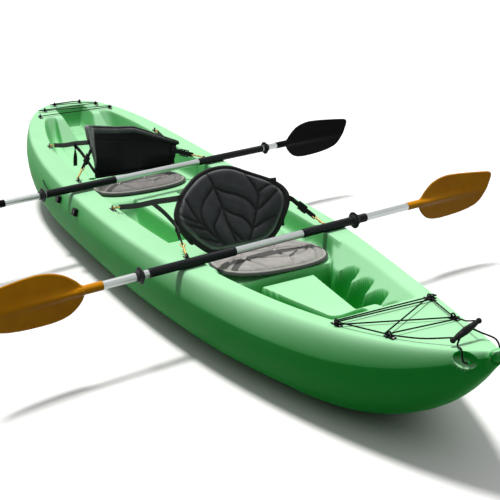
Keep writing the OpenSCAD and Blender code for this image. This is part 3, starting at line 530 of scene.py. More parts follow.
# Seat pads: moulded foam under pale cloth, with a piped rim and a dark tape round the edge.
# Sewn seams part the top into petals, and darker web bands show between them. Each lies loose in its pan.
def closed_form(name, outline, face, back, place, rings):
    """A padded form over a flat outline: face and back give heights at share r of the way out."""
    spokes = len(outline)
    shares = 1 - (1 - np.linspace(0, 1, rings + 1)[1:]) ** 1.35
    pole = np.zeros(1)
    ring = lambda r, side: (r + 0 * outline[:, 0], r * outline[:, 0], r * outline[:, 1], side)
    layers = [(pole, pole, pole, face), *[ring(r, face) for r in shares], *[ring(r, back) for r in shares[::-1]],
              (pole, pole, pole, back)]
    points = np.concatenate([place(a, b, side(r, a, b)) for r, a, b, side in layers])
    count = 2 * rings
    last = 1 + count * spokes
    rim = lambda i, j: 1 + i * spokes + j % spokes
    faces = [(0, rim(0, j), rim(0, j + 1)) for j in range(spokes)]
    faces += [(rim(i, j), rim(i + 1, j), rim(i + 1, j + 1), rim(i, j + 1))
              for i in range(count - 1) for j in range(spokes)]
    faces += [(rim(count - 1, j + 1), rim(count - 1, j), last) for j in range(spokes)]
    piece = add_mesh(name, points, faces)
    mark(piece, "out", np.concatenate([r if side is face else 2 - r for r, _, _, side in layers]))
    face_out(piece)
    bpy.ops.object.shade_smooth()
    return piece, *[np.concatenate([layer[k] for layer in layers]) for k in (1, 2)]


def mm(points):
    return np.array(points) / 1000


def line_distance(a, b, route):
    """Distance of points (a, b) from a drawn line."""
    best = np.full(np.shape(a), 9.0)
    for (x0, y0), (x1, y1) in zip(route, route[1:]):
        dx, dy = x1 - x0, y1 - y0
        t = np.clip(((a - x0) * dx + (b - y0) * dy) / (dx * dx + dy * dy), 0, 1)
        best = np.minimum(best, np.hypot(a - x0 - t * dx, b - y0 - t * dy))
    return best


def through(points, steps):
    """A smooth curve through given points."""
    p = np.array(points, float)
    p = np.concatenate([[2 * p[0] - p[1]], p, [2 * p[-1] - p[-2]]])
    t = np.linspace(0, 1, steps, endpoint=False)[:, None]
    runs = [0.5 * (2 * b + (c - a) * t + (2 * a - 5 * b + 4 * c - d) * t ** 2 + (3 * b - 3 * c + d - a) * t ** 3)
            for a, b, c, d in zip(p, p[1:], p[2:], p[3:])]
    return np.concatenate(runs + [p[-2:-1]])


def creases(a, b, routes, width):
    """How near points lie to the nearest of some drawn lines, from 0 to 1."""
    return np.max([np.exp(-(line_distance(a, b, route) / width) ** 2) for route in routes], 0)


def round_off(t):
    """Falls from 1 to 0 as a quarter circle does, while t goes from 0 to 1."""
    return np.sqrt(1 - np.clip(t, 0, 1) ** 2)


pad_half_width, pad_half_depth = 0.226, 0.146
tufts = [(-104, -6), (38, 29), (41, -70), (168, -4)]
web_bands = [([(-185, -86), (-108, -16)], 0.0135), ([(-88, -15), (30, 10)], 0.0125), ([(46, 3), (128, -8)], 0.0085),
             ([(146, -2), (212, 14)], 0.0130), ([(52, -66), (98, -34)], 0.0060)]
pad_seams = [through(mm(route), 6) for route in (
    [(-75, 128), (-92, 45), tufts[0]], [tufts[0], (-140, 4), (-198, -52)],
    [tufts[0], (-98, -60), (-70, -128)], [(20, 130), (24, 80), tufts[1]],
    [tufts[1], (62, 68), (108, 118)], [tufts[1], (30, -20), tufts[2]], [tufts[2], (44, -100), (30, -130)],
    [tufts[3], (168, -50), (140, -110)], [(126, 108), (136, 50), tufts[3]],
    [(-90, 52), (-30, 34), tufts[1]], [tufts[0], (-40, -40), tufts[2]], [tufts[1], (90, 26), tufts[3]],
    [tufts[2], (110, -52), tufts[3]])]
pad_seam_width = 0.0050


def pad_outline():
    turn = np.linspace(0, 2 * np.pi, 240, endpoint=False)
    c, d = np.cos(turn), np.sin(turn)
    reach = (np.abs(c) ** 2.5 + np.abs(d) ** 2.5) ** (-1 / 2.5)
    return np.stack([pad_half_width * reach * c, pad_half_depth * reach * d], 1)


def web_band(a, b):
    return np.max([np.exp(-(line_distance(a, b, mm(route)) / width) ** 8) for route, width in web_bands], 0)


def pad_face(r, a, b):
    crown = (1 - np.clip(r / 0.93, 0, 1) ** 8) ** 0.55
    tuft = np.max([np.exp(-(np.hypot(a - u, b - v) / 0.010) ** 2) for u, v in mm(tufts)], 0)
    sunk = 0.0080 * np.max([0.55 * web_band(a, b), creases(a, b, pad_seams, pad_seam_width), 1.1 * tuft], 0)
    piping = 0.0050 * np.exp(-((r - 0.950) / 0.012) ** 2)
    return 0.017 + (0.007 + piping) * round_off((r - 0.955) / 0.045) + crown * (0.018 - sunk)


def pad_back(r, a, b):
    return 0.0012 + 0.0100 * ease(r, 0.70, 0.95) + 0.0058 * share(r, 0.93, 1) ** 2


for name, seat_x, pan, tip, over, pale, dark in (
        ("front_seat_pad", 0.580, seat_floor + seat_step, 0.045, 0.012, (164, 160, 157), (70, 69, 69)),
        ("rear_seat_pad", -0.705, seat_floor, 0.0, 0.0, (128, 123, 122), (52, 51, 52))):
    on_pan = lambda a, b, h: np.stack([seat_x - b, a + over, pan + 0.0005 + h + tip * (0.09 - a)], -1)
    pad, a, b = closed_form(name + "_cloth", pad_outline(), pad_face, pad_back, on_pan, rings=52)
    mark(pad, "band", web_band(a, b))
    mark(pad, "seam", creases(a, b, pad_seams, pad_seam_width))
    mark(pad, "stitch", np.max([np.exp(-(np.minimum(np.abs(a - u - b + v), np.abs(a - u + b - v)) / 0.0035) ** 4
                                       - (np.hypot(a - u, b - v) / 0.013) ** 4) for u, v in mm(tufts)], 0))

    # Woven pad cloth: pale petals, dark web bands, pale piping, dark tape on the side
    cloth = mottled(
        name + "_cloth", (38.0, 5.0, 0.6), (0.3, 0.7), [c - 14 for c in pale], [c + 8 for c in pale], (0.12, 0.74),
        layers=lambda place, worn: (
            (place.kept("band").step(0.35, 0.65), dark), (place.kept("seam").step(0.35, 1.0) * 0.42, dark),
            (place.kept("stitch").step(0.3, 0.6), (196, 193, 188)),
            (place.kept("out").step(0.925, 0.94) * place.kept("out").ramp((0.962, 1), (0.968, 0)), (176, 172, 168)),
            (place.kept("out").step(0.966, 0.972), (44, 44, 46))),
        relief=lambda place, worn: (place.weave("X", "Y", 2600.0) * 0.5 + place.noise(900.0, 2.0)).bump(0.30, 0.0012),
        Sheen_Weight=0.25, Sheen_Roughness=0.5)
    dress(pad, cloth, "hull", name, "pad_grey")

# Front backrest: a moulded foam panel faced with charcoal cloth, its edge bound in black, with channels
# pressed in like the veins of leaves. It hangs a little to starboard.
recline = math.radians(22)


def on_back(root_x, root_z, height, half, wing_start, wing_depth, drop, power=1.4, tilt=0.0, uneven=0.0):
    """Maps a panel's own places to the leaning panel with its sides bent forward."""
    def place(a, b, h):
        side = share(np.abs(a) / half, wing_start, 1) ** power
        rise = (b + height / 2) * (1 - drop * side * (1 + uneven * np.sign(a)))
        out = h + wing_depth * side * np.sin(np.pi / 2 * share((b + height / 2) / height, 0, 0.4))
        return np.stack([root_x - rise * math.sin(recline) + out * math.cos(recline), a,
                         root_z + rise * math.cos(recline) + out * math.sin(recline)
                         + tilt * a * (b / height + 0.5)], -1)
    return place


def rounded_outline(corners, spokes, soften):
    """A closed outline through corner points, rounded and spaced evenly."""
    loop = np.array(list(corners) + list(corners[:1]), float)
    walk = np.concatenate([[0], np.cumsum(np.hypot(*np.diff(loop, axis=0).T))])
    at = np.linspace(0, walk[-1], 4 * spokes, endpoint=False)
    line = np.stack([np.interp(at, walk, loop[:, 0]), np.interp(at, walk, loop[:, 1])], 1)
    for _ in range(soften):
        line = (np.roll(line, 1, 0) + 2 * line + np.roll(line, -1, 0)) / 4
    return line[::4]


front_half, front_height = 0.245, 0.320
front_outline = rounded_outline(mm([
    (-262, -34), (-256, 6), (-206, 70), (-120, 128), (-60, 148), (0, 151), (44, 143), (116, 104),
    (186, 62), (224, 26), (240, -14), (226, -66), (182, -150), (138, -182), (0, -187), (-118, -184),
    (-172, -138), (-242, -70)]), 300, 700)
veins = [through(mm(route), 6) for route in (
    [(-70, 130), (-54, 70), (-38, -8), (-30, -74), (-10, -152)],
    [(90, 96), (113, 41), (120, -1), (100, -53), (71, -116), (46, -155)],
    [(-54, 70), (-17, 47), (39, 23), (81, -10), (100, -50)],
    [(-37, -11), (-12, -35), (37, -64), (58, -91), (66, -120)], [(-30, -74), (-12, -111), (16, -148)],
    [(-61, 66), (-108, 24), (-132, -17), (-127, -62), (-97, -111), (-60, -152)],
    [(-38, -5), (-63, -45), (-87, -74), (-84, -108), (-54, -152)],
    [(-190, 40), (-167, -18), (-137, -60), (-102, -105), (-65, -150)],
    [(-238, -7), (-186, -37), (-137, -60)], [(-236, -40), (-166, -67), (-111, -89)],
    [(-165, -104), (-113, -125), (-80, -143)], [(190, 10), (140, -26), (102, -51)],
    [(196, -76), (128, -92), (75, -114)], [(118, 20), (160, 38), (196, 36)])]
vein_width = 0.0046


def front_face(r, a, b):
    field = (1 - np.clip(r / 0.905, 0, 1) ** 14) ** 0.5
    lobes = np.min([line_distance(a, b, route) for route in veins], 0)
    swell = 0.0045 * np.clip(lobes / 0.024, 0, 1) ** 0.7
    filled = 0.0130 + swell - 0.0062 * creases(a, b, veins, vein_width)
    return -0.004 + 0.008 * round_off(np.abs(r - 0.957) / 0.043) + field * filled


def front_behind(r, a, b):
    return -0.004 - 0.007 * round_off(np.abs(r - 0.957) / 0.043) - 0.009 * (1 - np.clip(r / 0.91, 0, 1) ** 8)


front_place = on_back(0.355, 0.235, front_height, front_half, 0.35, 0.060, 0.0)
front_back, a, b = closed_form("front_backrest_cloth", front_outline, front_face, front_behind, front_place, rings=70)
mark(front_back, "vein", creases(a, b, veins, vein_width))

# Charcoal facing cloth: fine knit, darker in the veins, a painted highlight as a pale band near the edge, black binding
charcoal = mottled(
    "charcoal_cloth", (16.0, 6.0, 0.62), (0.35, 0.72), (37, 39, 43), (60, 62, 66), (0.18, 0.62),
    layers=lambda place, worn: (
        (place.kept("vein") * 0.6, (15, 16, 18)),
        # Painted highlight: a pale band, broken up by the noise, where the field rounds down toward the binding
        (place.kept("out").step(0.84, 0.885) * worn.ramp((0.3, 0.45), (0.6, 1.0)), (122, 123, 126)),
        (place.kept("out").step(0.906, 0.916), (12, 12, 14))),
    relief=lambda place, worn: (place.weave("Y", "Z", 3400.0) * 0.5 + place.noise(700.0, 2.0)).bump(0.30, 0.0012),
    Specular_IOR_Level=0.3)
dress(front_back, charcoal, "front_back", "front_backrest", "charcoal_foam")

# Rear backrest: a black cloth panel over foam with a rolled top edge and both sides bent forward.
# A welt frames the middle, and the cloth is worn grey along the starboard edge.
rear_half, rear_height = 0.228, 0.216
rear_outline = rounded_outline(mm([
    (192, -106), (209, 56), (214, 66), (228, 72), (228, 107), (50, 127), (-226, 107), (-226, 56),
    (-198, -106), (0, -108)]), 300, 120)
welts = [mm(route) for route in (
    [(30, -94), (28, 64)], [(-168, 46), (6, 50)], [(50, 56), (196, 56)], [(-176, -90), (-190, 64)])]
welt_width = 0.0036
rear_place = on_back(-0.760, 0.265, rear_height, rear_half, 0.16, 0.095, 0.18, 1.15, -0.17, 0.9)


def below_top(a, b):
    """Height on the rear panel counted from its peaked top edge."""
    return b - np.interp(a, [-0.226, 0.050, 0.228], [0.107, 0.127, 0.107])


def to_starboard(a, b):
    """Distance out from the rear panel's middle toward its slanted starboard side."""
    return -a - 0.135 * (0.06 - b)


def rear_face(r, a, b):
    field = (1 - np.clip(r / 0.90, 0, 1) ** 14) ** 0.5
    puckers = 1 + 0.10 * np.sin(a * 540 + 30 * b)
    top_roll = round_off(np.abs(below_top(a, b) + 0.0195) / 0.0195) * puckers
    side_roll = round_off(np.abs(0.200 - to_starboard(a, b)) / 0.017)
    rolls = np.maximum(top_roll, side_roll) * share(0.998 - r, 0, 0.03)
    return (-0.006 + 0.010 * round_off(np.abs(r - 0.952) / 0.048) + 0.011 * field + 0.014 * rolls
            - 0.004 * creases(a, b, welts, welt_width) * field)


def rear_behind(r, a, b):
    return -0.006 - 0.009 * round_off(np.abs(r - 0.952) / 0.048) - 0.006 * (1 - np.clip(r / 0.90, 0, 1) ** 8)


rear_back, a, b = closed_form("rear_backrest_cloth", rear_outline, rear_face, rear_behind, rear_place, rings=66)
mark(rear_back, "welt", creases(a, b, welts, welt_width))
mark(rear_back, "hem", np.maximum(0.35 * ease(below_top(a, b), -0.042, -0.032),
                                  ease(to_starboard(a, b), 0.180, 0.192)))
black_cloth = mottled(
    "black_cloth", (14.0, 6.0, 0.65), (0.4, 0.8), (5, 8, 10), (16, 19, 22), (0.2, 0.58),
    layers=lambda place, worn: (
        (place.kept("welt") * 0.3, (52, 53, 57)),
        ((place.kept("hem") * worn.ramp((0.3, 0.45), (0.65, 1))).clamp(), (168, 168, 172))),
    relief=lambda place, worn: (place.weave("Y", "Z", 3000.0) * 0.5 + place.noise(600.0, 3.0)).bump(0.30, 0.0015),
    Specular_IOR_Level=0.15)
dress(rear_back, black_cloth, "rear_back", "rear_backrest", "black_foam")

# Seat straps: flat black polypropylene webbing. Each fore strap runs from a wing of the backrest to an eye on
# the gunwale; each aft strap is sewn to a fork with one branch to the panel's edge and one to its foot.
def sweep(name, path, section, upright=None):
    """A closed skin drawn along a path, with its length and girth kept as UV in metres."""
    path = np.asarray(path, float)
    step = np.gradient(path, axis=0)
    ahead = step / np.linalg.norm(step, axis=1)[:, None]
    lean = np.array(upright if upright is not None else ((0, 0, 1) if abs(ahead[0, 2]) < 0.9 else (0, 1, 0)), float)
    rises = []
    for t in ahead:
        lean_here = lean - t * (lean @ t)
        rises.append(lean_here / np.linalg.norm(lean_here))
        lean = lean if upright is not None else rises[-1]
    rises = np.array(rises)
    sides = np.cross(ahead, rises)
    section = np.asarray(section, float)
    points = path[:, None] + section[None, :, :1] * sides[:, None] + section[None, :, 1:] * rises[:, None]
    n, m = len(path), len(section)
    faces = [(i * m + j, i * m + (j + 1) % m, (i + 1) * m + (j + 1) % m, (i + 1) * m + j)
             for i in range(n - 1) for j in range(m)]
    along = np.concatenate([[0], np.cumsum(np.linalg.norm(np.diff(path, axis=0), axis=1))])
    girth = np.concatenate([[0], np.cumsum(np.linalg.norm(np.roll(section, -1, 0) - section, axis=1))])
    faces += [tuple(range(m))[::-1], tuple((n - 1) * m + j for j in range(m))]
    piece = add_mesh(name, points.reshape(-1, 3), faces)
    uv = [(along[i + di], girth[j + dj]) for i in range(n - 1) for j in range(m)
          for di, dj in ((0, 0), (0, 1), (1, 1), (1, 0))] + [(0, 0)] * (2 * m)
    piece.data.uv_layers.new(name="length").data.foreach_set("uv", np.array(uv, np.float32).ravel())
    face_out(piece)
    smooth(piece)
    return piece


hands = ((1, "port"), (-1, "starboard"))
web_wide, web_thick = 0.022, 0.0018
web_section = [(x * web_thick / 2, y * web_wide / 2) for x, y in
               ((-1, -0.9), (-0.4, -1), (0.4, -1), (1, -0.9), (1, 0.9), (0.4, 1), (-0.4, 1), (-1, 0.9))]
eye_across, eye_hole_z = 0.36, 0.0073
hook_drop, hook_long, web_in_hook = 0.0096, 0.058, 0.006
gunwale_eye_y = lambda x: float(tub_half(x)) + eye_across * gunwale_width
eye_top = lambda x: float(sheer(x)) + eye_hole_z


def unit(v):
    return v / np.linalg.norm(v)


def panel_edge(seat, v, side):
    """Point just off the edge of a backrest at share v of its height."""
    edge, height, at = ((rear_outline, rear_height, rear_place) if seat == "rear" else
                        (front_outline, front_height, front_place))
    level = (v - 0.5) * height
    edge = edge[edge[:, 0] * side > 0]
    return at(edge[np.argmin(np.abs(edge[:, 1] - level)), 0] + 0.002 * side, np.array(level), 0.0)


def hook_line(x, side, goal):
    """Where a snap hook starts on its eye, its direction and where its strap starts."""
    eye_here = np.array([x, side * gunwale_eye_y(x), eye_top(x)])
    root = eye_here + hook_drop * unit(np.array([goal[0] - x, 0, goal[2] - eye_here[2]]))
    way = unit(goal - root)
    return root, way, root + hook_long * way


webbing = mottled(
    "webbing", (60.0, 4.0, 0.6), (0.35, 0.7), (13, 13, 15), (30, 30, 33), (0.15, 0.62), coordinates="UV",
    relief=lambda place, speck: ((place.axis("X") * 2400.0 + (place.axis("Y") * 1500.0).sine() * 2.0).sine() * 0.5
                                 + speck).bump(0.5, 0.0008), Specular_IOR_Level=0.25)
seat_eyes = {("front", "fore"): 0.530, ("front", "aft"): -0.170, ("rear", "fore"): -0.630, ("rear", "aft"): -1.185}
sewn_at = {("front", "fore"): 0.40, ("rear", "fore"): 0.50, ("front", "aft"): 0.66, ("rear", "aft"): 0.66}
hooks, fore_runs = [], []
for (seat, end), eye_x in seat_eyes.items():
    for side, hand in hands:
        goal = panel_edge(seat, sewn_at[seat, end], side)
        root, way, start = hook_line(eye_x, side, goal)
        hooks.append((seat, root, way))
        in_hook, tuck = start - web_in_hook * way, np.array([-0.006, -side * 0.020, 0.0])
        if end == "fore":
            fore_runs.append((seat, start, goal))
            runs = [[in_hook, mix(start, goal, 0.35), mix(start, goal, 0.7), goal, goal + tuck]]
        else:
            fork = mix(start, goal, 0.62)
            low = panel_edge(seat, 0.14, side)
            loose = fork + np.array([0.012, side * 0.012, -0.105])
            runs = [[in_hook, mix(start, fork, 0.5) - (0, 0, 0.004), fork, mix(fork, goal, 0.5), goal, goal + tuck],
                    [mix(start, fork, 0.92), mix(fork, low, 0.3), mix(fork, low, 0.7), low, low + tuck]]
            if (seat, side) == ("rear", -1):
                runs.append([fork, mix(fork, loose, 0.4) + (0.004, 0, 0), loose])
        name = f"{seat}_{end}_strap_{hand}"
        strap = join([sweep(name, through(run, 10), web_section, upright=(0, 0, 1)) for run in runs], name + "_web")
        coat(strap, webbing)
        start + 0.12 * (goal - start)
        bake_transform(strap)
        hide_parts(name)

# Snap hooks: cast brass swivel snaps, worn dull, one at each seat eye. The gate is a sprung bolt on the real
# hook; here it is moulded shut with its thumb stud showing.
brass = mottled("worn_brass", (130.0, 5.0, 0.6), (0.35, 0.7), (150, 112, 58), (212, 176, 110), (0.3, 0.26),
                Metallic=1.0)


def snap_hook(root, way):
    """A snap hook that hangs from its eye at root and lies along way."""
    parts = [solid("torus", major_radius=0.0056, minor_radius=0.0021, major_segments=28, minor_segments=12,
                   rotation=(0, math.pi / 2, 0))]
    parts += [solid("cylinder", vertices=24, radius=radius, depth=depth, location=(0, 0, at)) for radius, depth, at in
              ((0.0036, 0.020, 0.0160), (0.0044, 0.006, 0.0275), (0.0030, 0.010, 0.0350), (0.0040, 0.004, 0.0405))]
    parts.append(solid("cylinder", vertices=16, radius=0.0016, depth=0.011, location=(0.004, 0, 0.018),
                       rotation=(0, math.pi / 2, 0)))
    parts.append(solid("torus", major_radius=0.0085, minor_radius=0.0020, major_segments=32, minor_segments=12,
                       location=(0, 0, 0.051), rotation=across))
    hook = join(parts, "snap_hook")
    hook.data.transform(Matrix.Translation(root) @ Vector(way).to_track_quat("Z", "Y").to_matrix().to_4x4())
    smooth(hook)
    return hook


for seat in ("front", "rear"):
    set_of = join([snap_hook(root, way) for kind, root, way in hooks if kind == seat], f"{seat}_brass_hooks")
    dress(set_of, brass, "hull", f"{seat}_snap_hooks", "brass")

# Strap buckles: moulded nylon ladder locks on the fore straps. The webbing runs under the outer bars and
# over the middle one, and friction holds it.
nylon = mottled(
    "black_nylon", (220.0, 4.0, 0.6), (0.3, 0.75), (12, 12, 14), (26, 26, 29), (0.16, 0.42),
    relief=lambda place, speck: place.noise(1400.0, 2.0).bump(0.08, 0.0006), IOR=1.45, Specular_IOR_Level=0.14)


def bevelled(piece, width):
    pick(piece)
    on_all_faces(bpy.ops.mesh.bevel, offset=width, segments=3, affect="EDGES")
    return piece


def buckle(start, goal):
    """A ladder lock at the middle of a strap, its bars across the webbing."""
    rail, end_bar = (0.0042, 0.0070, 0.042), (0.030, 0.0040, 0.0052)
    lock = join([bevelled(solid("cube", size=1, location=at, scale=size), 0.0010) for size, at in (
        (rail, (0.0149, 0, 0)), (rail, (-0.0149, 0, 0)), (end_bar, (0, 0.0030, 0.0184)),
        (end_bar, (0, 0.0030, -0.0184)), ((0.030, 0.0036, 0.0060), (0, 0.0034, 0.0)),
        ((0.024, 0.0034, 0.010), (0, 0.0052, 0.0225)))], "buckle")
    way = Vector(goal - start).normalized()
    wide = (Vector((0, 0, 1)) - way * way.z).normalized()
    thick = way.cross(wide)
    if thick.y * goal[1] < 0:
        thick, wide = -thick, -wide
    lock.data.transform(Matrix.Translation(mix(start, goal, 0.5)) @ Matrix((wide, thick, way)).transposed().to_4x4())
    smooth(lock)
    return lock


for seat in ("front", "rear"):
    pair = join([buckle(start, goal) for kind, start, goal in fore_runs if kind == seat], f"{seat}_ladder_locks")
    face_out(pair)
    dress(pair, nylon, "hull", f"{seat}_strap_buckles", "black_plastic")

# Deck fittings: black nylon pad-eyes, side brackets and drain plug, each held by bright rivets or screws.
# They are the machined solids with their own finish.
steel = mottled("bright_steel", (300.0, 3.0), None, (176, 178, 182), (214, 216, 220), (0.2, 0.22),
                wear=(180.0, 4.0, 0.6), Metallic=1.0)
rubber = mottled("black_rubber", (90.0, 5.0, 0.65), (0.4, 0.8), (20, 21, 24), (46, 48, 52), (0.2, 0.58),
                 relief=lambda place, speck: place.noise(1100.0, 2.0).bump(0.2, 0.0006), Specular_IOR_Level=0.3)
for finish, names in ((nylon, ("bow_pad_eyes", "seat_pad_eyes", "stern_pad_eyes", "keeper_brackets", "drain_plug")),
                      (steel, ("pad_eye_rivets", "keeper_screws", "front_button", "rear_button",
                               "front_button_spring", "rear_button_spring")),
                      (rubber, ("drain_gasket",))):
    for name in names:
        coat(nodes[name], finish)

# Shock cords: rubber core in a braided black sheath. One is laced back and forth through the four bow eyes,
# one zigzags across the stern, and one on each side runs from a rivet to the paddle keeper.
braid = mottled(
    "cord_braid", (400.0, 3.0), (0.4, 0.75), (12, 12, 14), (34, 34, 36), (0.1, 0.66), coordinates="UV",
    relief=lambda place, speck: ((place.axis("X") * 900.0 + place.axis("Y") * 700.0).sine()
                                 * (place.axis("X") * 900.0 - place.axis("Y") * 700.0).sine()).bump(0.6, 0.0009),
    Specular_IOR_Level=0.08)
cord_d, bow_eye_in = 0.0046, 0.024


def round_section(radius, sides):
    turn = np.linspace(0, 2 * np.pi, sides, endpoint=False)
    return radius * np.stack([np.cos(turn), np.sin(turn)], 1)


def lay_cord(name, path, diameter, sides, body, node):
    """A braided cord along a path."""
    cord = sweep(name, path, round_section(diameter / 2, sides))
    dress(cord, braid, body, node, "cord")


bow_eye = lambda x, side: np.array([x, side * (float(deck_half(x)) - bow_eye_in), eye_top(x)])
aft_x, fore_x = half_length - 0.500, half_length - 0.315
order = [(fore_x, 1), (aft_x, 1), (aft_x, -1), (fore_x, 1), (fore_x, -1), (aft_x, 1), (aft_x, -1), (fore_x, -1)]
lift = [0.0, 0.0, 0.0, 0.0, 0.0030, 0.0095, 0.0060, 0.0030]
leg_round = 0.0155
route = []
for i, (x, side) in enumerate(order):
    centre = bow_eye(x, side) + (0, 0, lift[i])
    hole = (-0.0032, 0.0032)[i % 2]
    if i:
        way = unit(bow_eye(*order[i - 1]) - centre)
        route += [centre + 0.030 * way + (hole, 0, 0), centre + 0.012 * way + (hole, 0, 0)]
    route += [centre + (hole, side * 0.004, 0)]
    if i + 1 < len(order):
        next_x = order[i + 1][0]
        way = unit(bow_eye(*order[i + 1]) - centre)
        turn = leg_round if next_x > x or (next_x == x and i % 2) else -leg_round
        if i:
            route += [centre + (0.6 * turn, side * 0.0105, 0.0005), centre + (turn, side * 0.002, 0.001),
                      centre + (turn, 0, 0.001) + 0.014 * way]
        else:
            route += [centre + 0.012 * way]
lay_cord("bow_lacing", through(route, 10), cord_d, 10, "hull", "bow_shock_cord")
route = []
for k, x in enumerate((-half_length + 0.190, -half_length + 0.105, -half_length + 0.040)):
    out = float(deck_half(x - 0.022)) - 0.014
    starboard, port = [np.array([x, side * out, eye_top(x) + 0.0006 * k]) for side in (-1, 1)]
    if k:
        route += [starboard + (0.014, -0.009, 0)]
    route += [starboard - (0, 0.010, 0), starboard + (0, 0.030, 0), port - (0, 0.030, 0), port + (0, 0.010, 0)]
    if k < 2:
        route += [port + (-0.014, 0.007, 0.0005), port + (-0.022, -0.016, 0.003)]
lay_cord("stern_lacing", through(route, 10), cord_d, 10, "hull", "stern_shock_cord")
keeper_z = gunwale_height - 0.042
for side, hand in hands:
    low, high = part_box(f"keeper_cord_{hand}")
    route = []
    for along, clear, flank_rise, rise in ((0, 0.003, 0.016, 0.016), (0.3, 0.005, 0, 0.004), (0.7, 0.007, 0, -0.002),
                                           (1, 0.0096, 0, 0)):
        x = mix(low[0] + 0.003, high[0], along)
        beside = float(flank(x, share(keeper_z + flank_rise, waist_at(x), sheer(x))))
        route.append((x, side * (beside + clear), keeper_z + rise))
    lay_cord(f"keeper_cord_{hand}_braid", through(route, 14), cord_d, 10, "hull", f"keeper_cord_{hand}")

# Carry toggle: a moulded nylon grab handle on a rope bail that passes through the stem. The handle lies on
# the deck, held down by two tails of the bow lacing.
toggle_at = np.array([tunnel_x - 0.068, 0.0, tunnel_z + 0.054])
tilt = math.radians(22)
end_knob = (0.0082, 0.0080, 0.0082)
toggle = join([solid("uv_sphere", segments=40, ring_count=20, radius=1, location=(0, y, 0), scale=radii) for y, radii in
               ((0.0, (0.0100, 0.050, 0.0098)), (0.046, end_knob), (-0.046, end_knob),
                (0.0, (0.0088, 0.021, 0.0120)))], "carry_toggle")
melt = toggle.modifiers.new("melt", "REMESH")
melt.mode, melt.voxel_size = "VOXEL", 0.0009
bpy.ops.object.modifier_apply(modifier="melt")
ease_off = toggle.modifiers.new("ease", "SMOOTH")
ease_off.factor, ease_off.iterations = 0.5, 8
bpy.ops.object.modifier_apply(modifier="ease")
bpy.ops.object.shade_smooth()
toggle.data.transform(Matrix.Translation(toggle_at) @ Matrix.Rotation(tilt, 4, "X"))
dress(toggle, nylon, "toggle", "bow_toggle", "black_plastic")
on_toggle = lambda out: toggle_at + (0, out * math.cos(tilt), out * math.sin(tilt))
rope_d, rope_out, rope_hole, tail_tie = 0.0052, tunnel_beam + 0.003, 0.014, 0.040
bail = []
for side in (1, -1):
    leg = [on_toggle(side * rope_hole),
           (toggle_at[0] + 0.014, side * (rope_out - 0.014), toggle_at[2] - 0.018 + 0.008 * side),
           (tunnel_x - 0.016, side * (rope_out + 0.004), tunnel_z + 0.035),
           (tunnel_x - 0.004, side * (rope_out + 0.008), tunnel_z + 0.009),
           (tunnel_x, side * (rope_out - 0.008), tunnel_z), (tunnel_x, side * (rope_out - 0.020), tunnel_z)]
    bail += leg if side > 0 else leg[::-1]
lay_cord("toggle_bail", through(bail, 10), rope_d, 12, "toggle", "bow_toggle_rope")
for side, hand in hands:
    tie = on_toggle(side * tail_tie)
    start = bow_eye(fore_x, side) + (0.004, 0, 0.002)
    tail_path = through([start, mix(start, tie, 0.5) - (0, 0, 0.004), tie + (-0.010, 0, 0), tie + (0, 0, 0.0005)], 10)
    tail = sweep(f"lacing_tail_{hand}", tail_path, round_section(cord_d / 2, 10))
    coat(tail, braid)
    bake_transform(tail)
    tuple(start)

# Paddles: two-piece aluminium shafts with rubber grip sleeves and drip rings, moulded blades pressed on the ends.
# A sprung steel button locks the halves. Both lie across the gunwales.
alloy = mottled("anodised_tube", (240.0, 4.0, 0.6), None, (166, 172, 172), (196, 201, 200), (0.18, 0.24), Metallic=1.0)
grip_rubber = mottled(
    "grip_rubber", (70.0, 5.0, 0.65), (0.4, 0.8), (7, 9, 13), (18, 21, 26), (0.2, 0.38), Specular_IOR_Level=0.14,
    relief=lambda place, speck: ((place.axis("Y") * 1500.0).sine() * 0.4 + place.noise(900.0, 2.0)).bump(0.35, 0.0008))
amber = mottled("amber_blade", (9.0, 4.0, 0.55), (0.3, 0.75), (206, 130, 0), (222, 150, 0), (0.16, 0.24),
                wear=(60.0, 4.0, 0.6), IOR=1.45, Specular_IOR_Level=0.12)
black_blade = mottled("black_blade", (12.0, 5.0, 0.6), (0.35, 0.75), (4, 6, 5), (11, 13, 12), (0.18, 0.32),
                      wear=(60.0, 4.0, 0.6), IOR=1.45, Specular_IOR_Level=0.06)
blade_long, blade_wide, shaft_r, collar, bore_gap = 0.420, 0.178, 0.0145, 0.034, 0.0002
# Outline of a blade: places along it and half widths, as shares. The tip is cut slanting.
blade_edge = [(1.0, 0.70), (0.972, 0.79), (0.93, 0.815), (0.84, 0.86), (0.73, 0.905), (0.62, 0.95), (0.52, 0.98),
              (0.41, 1.0), (0.33, 0.965), (0.26, 0.90), (0.19, 0.79), (0.13, 0.63), (0.07, 0.42), (0.03, 0.22),
              (0.005, 0.17), (0.005, -0.17), (0.035, -0.42), (0.07, -0.60), (0.11, -0.75), (0.15, -0.86),
              (0.21, -0.945), (0.26, -0.98), (0.32, -1.0), (0.41, -0.99), (0.51, -0.965), (0.60, -0.92),
              (0.70, -0.84), (0.79, -0.71), (0.83, -0.60), (0.87, -0.42), (0.90, -0.23), (0.935, 0.0),
              (0.968, 0.30), (0.995, 0.56)]


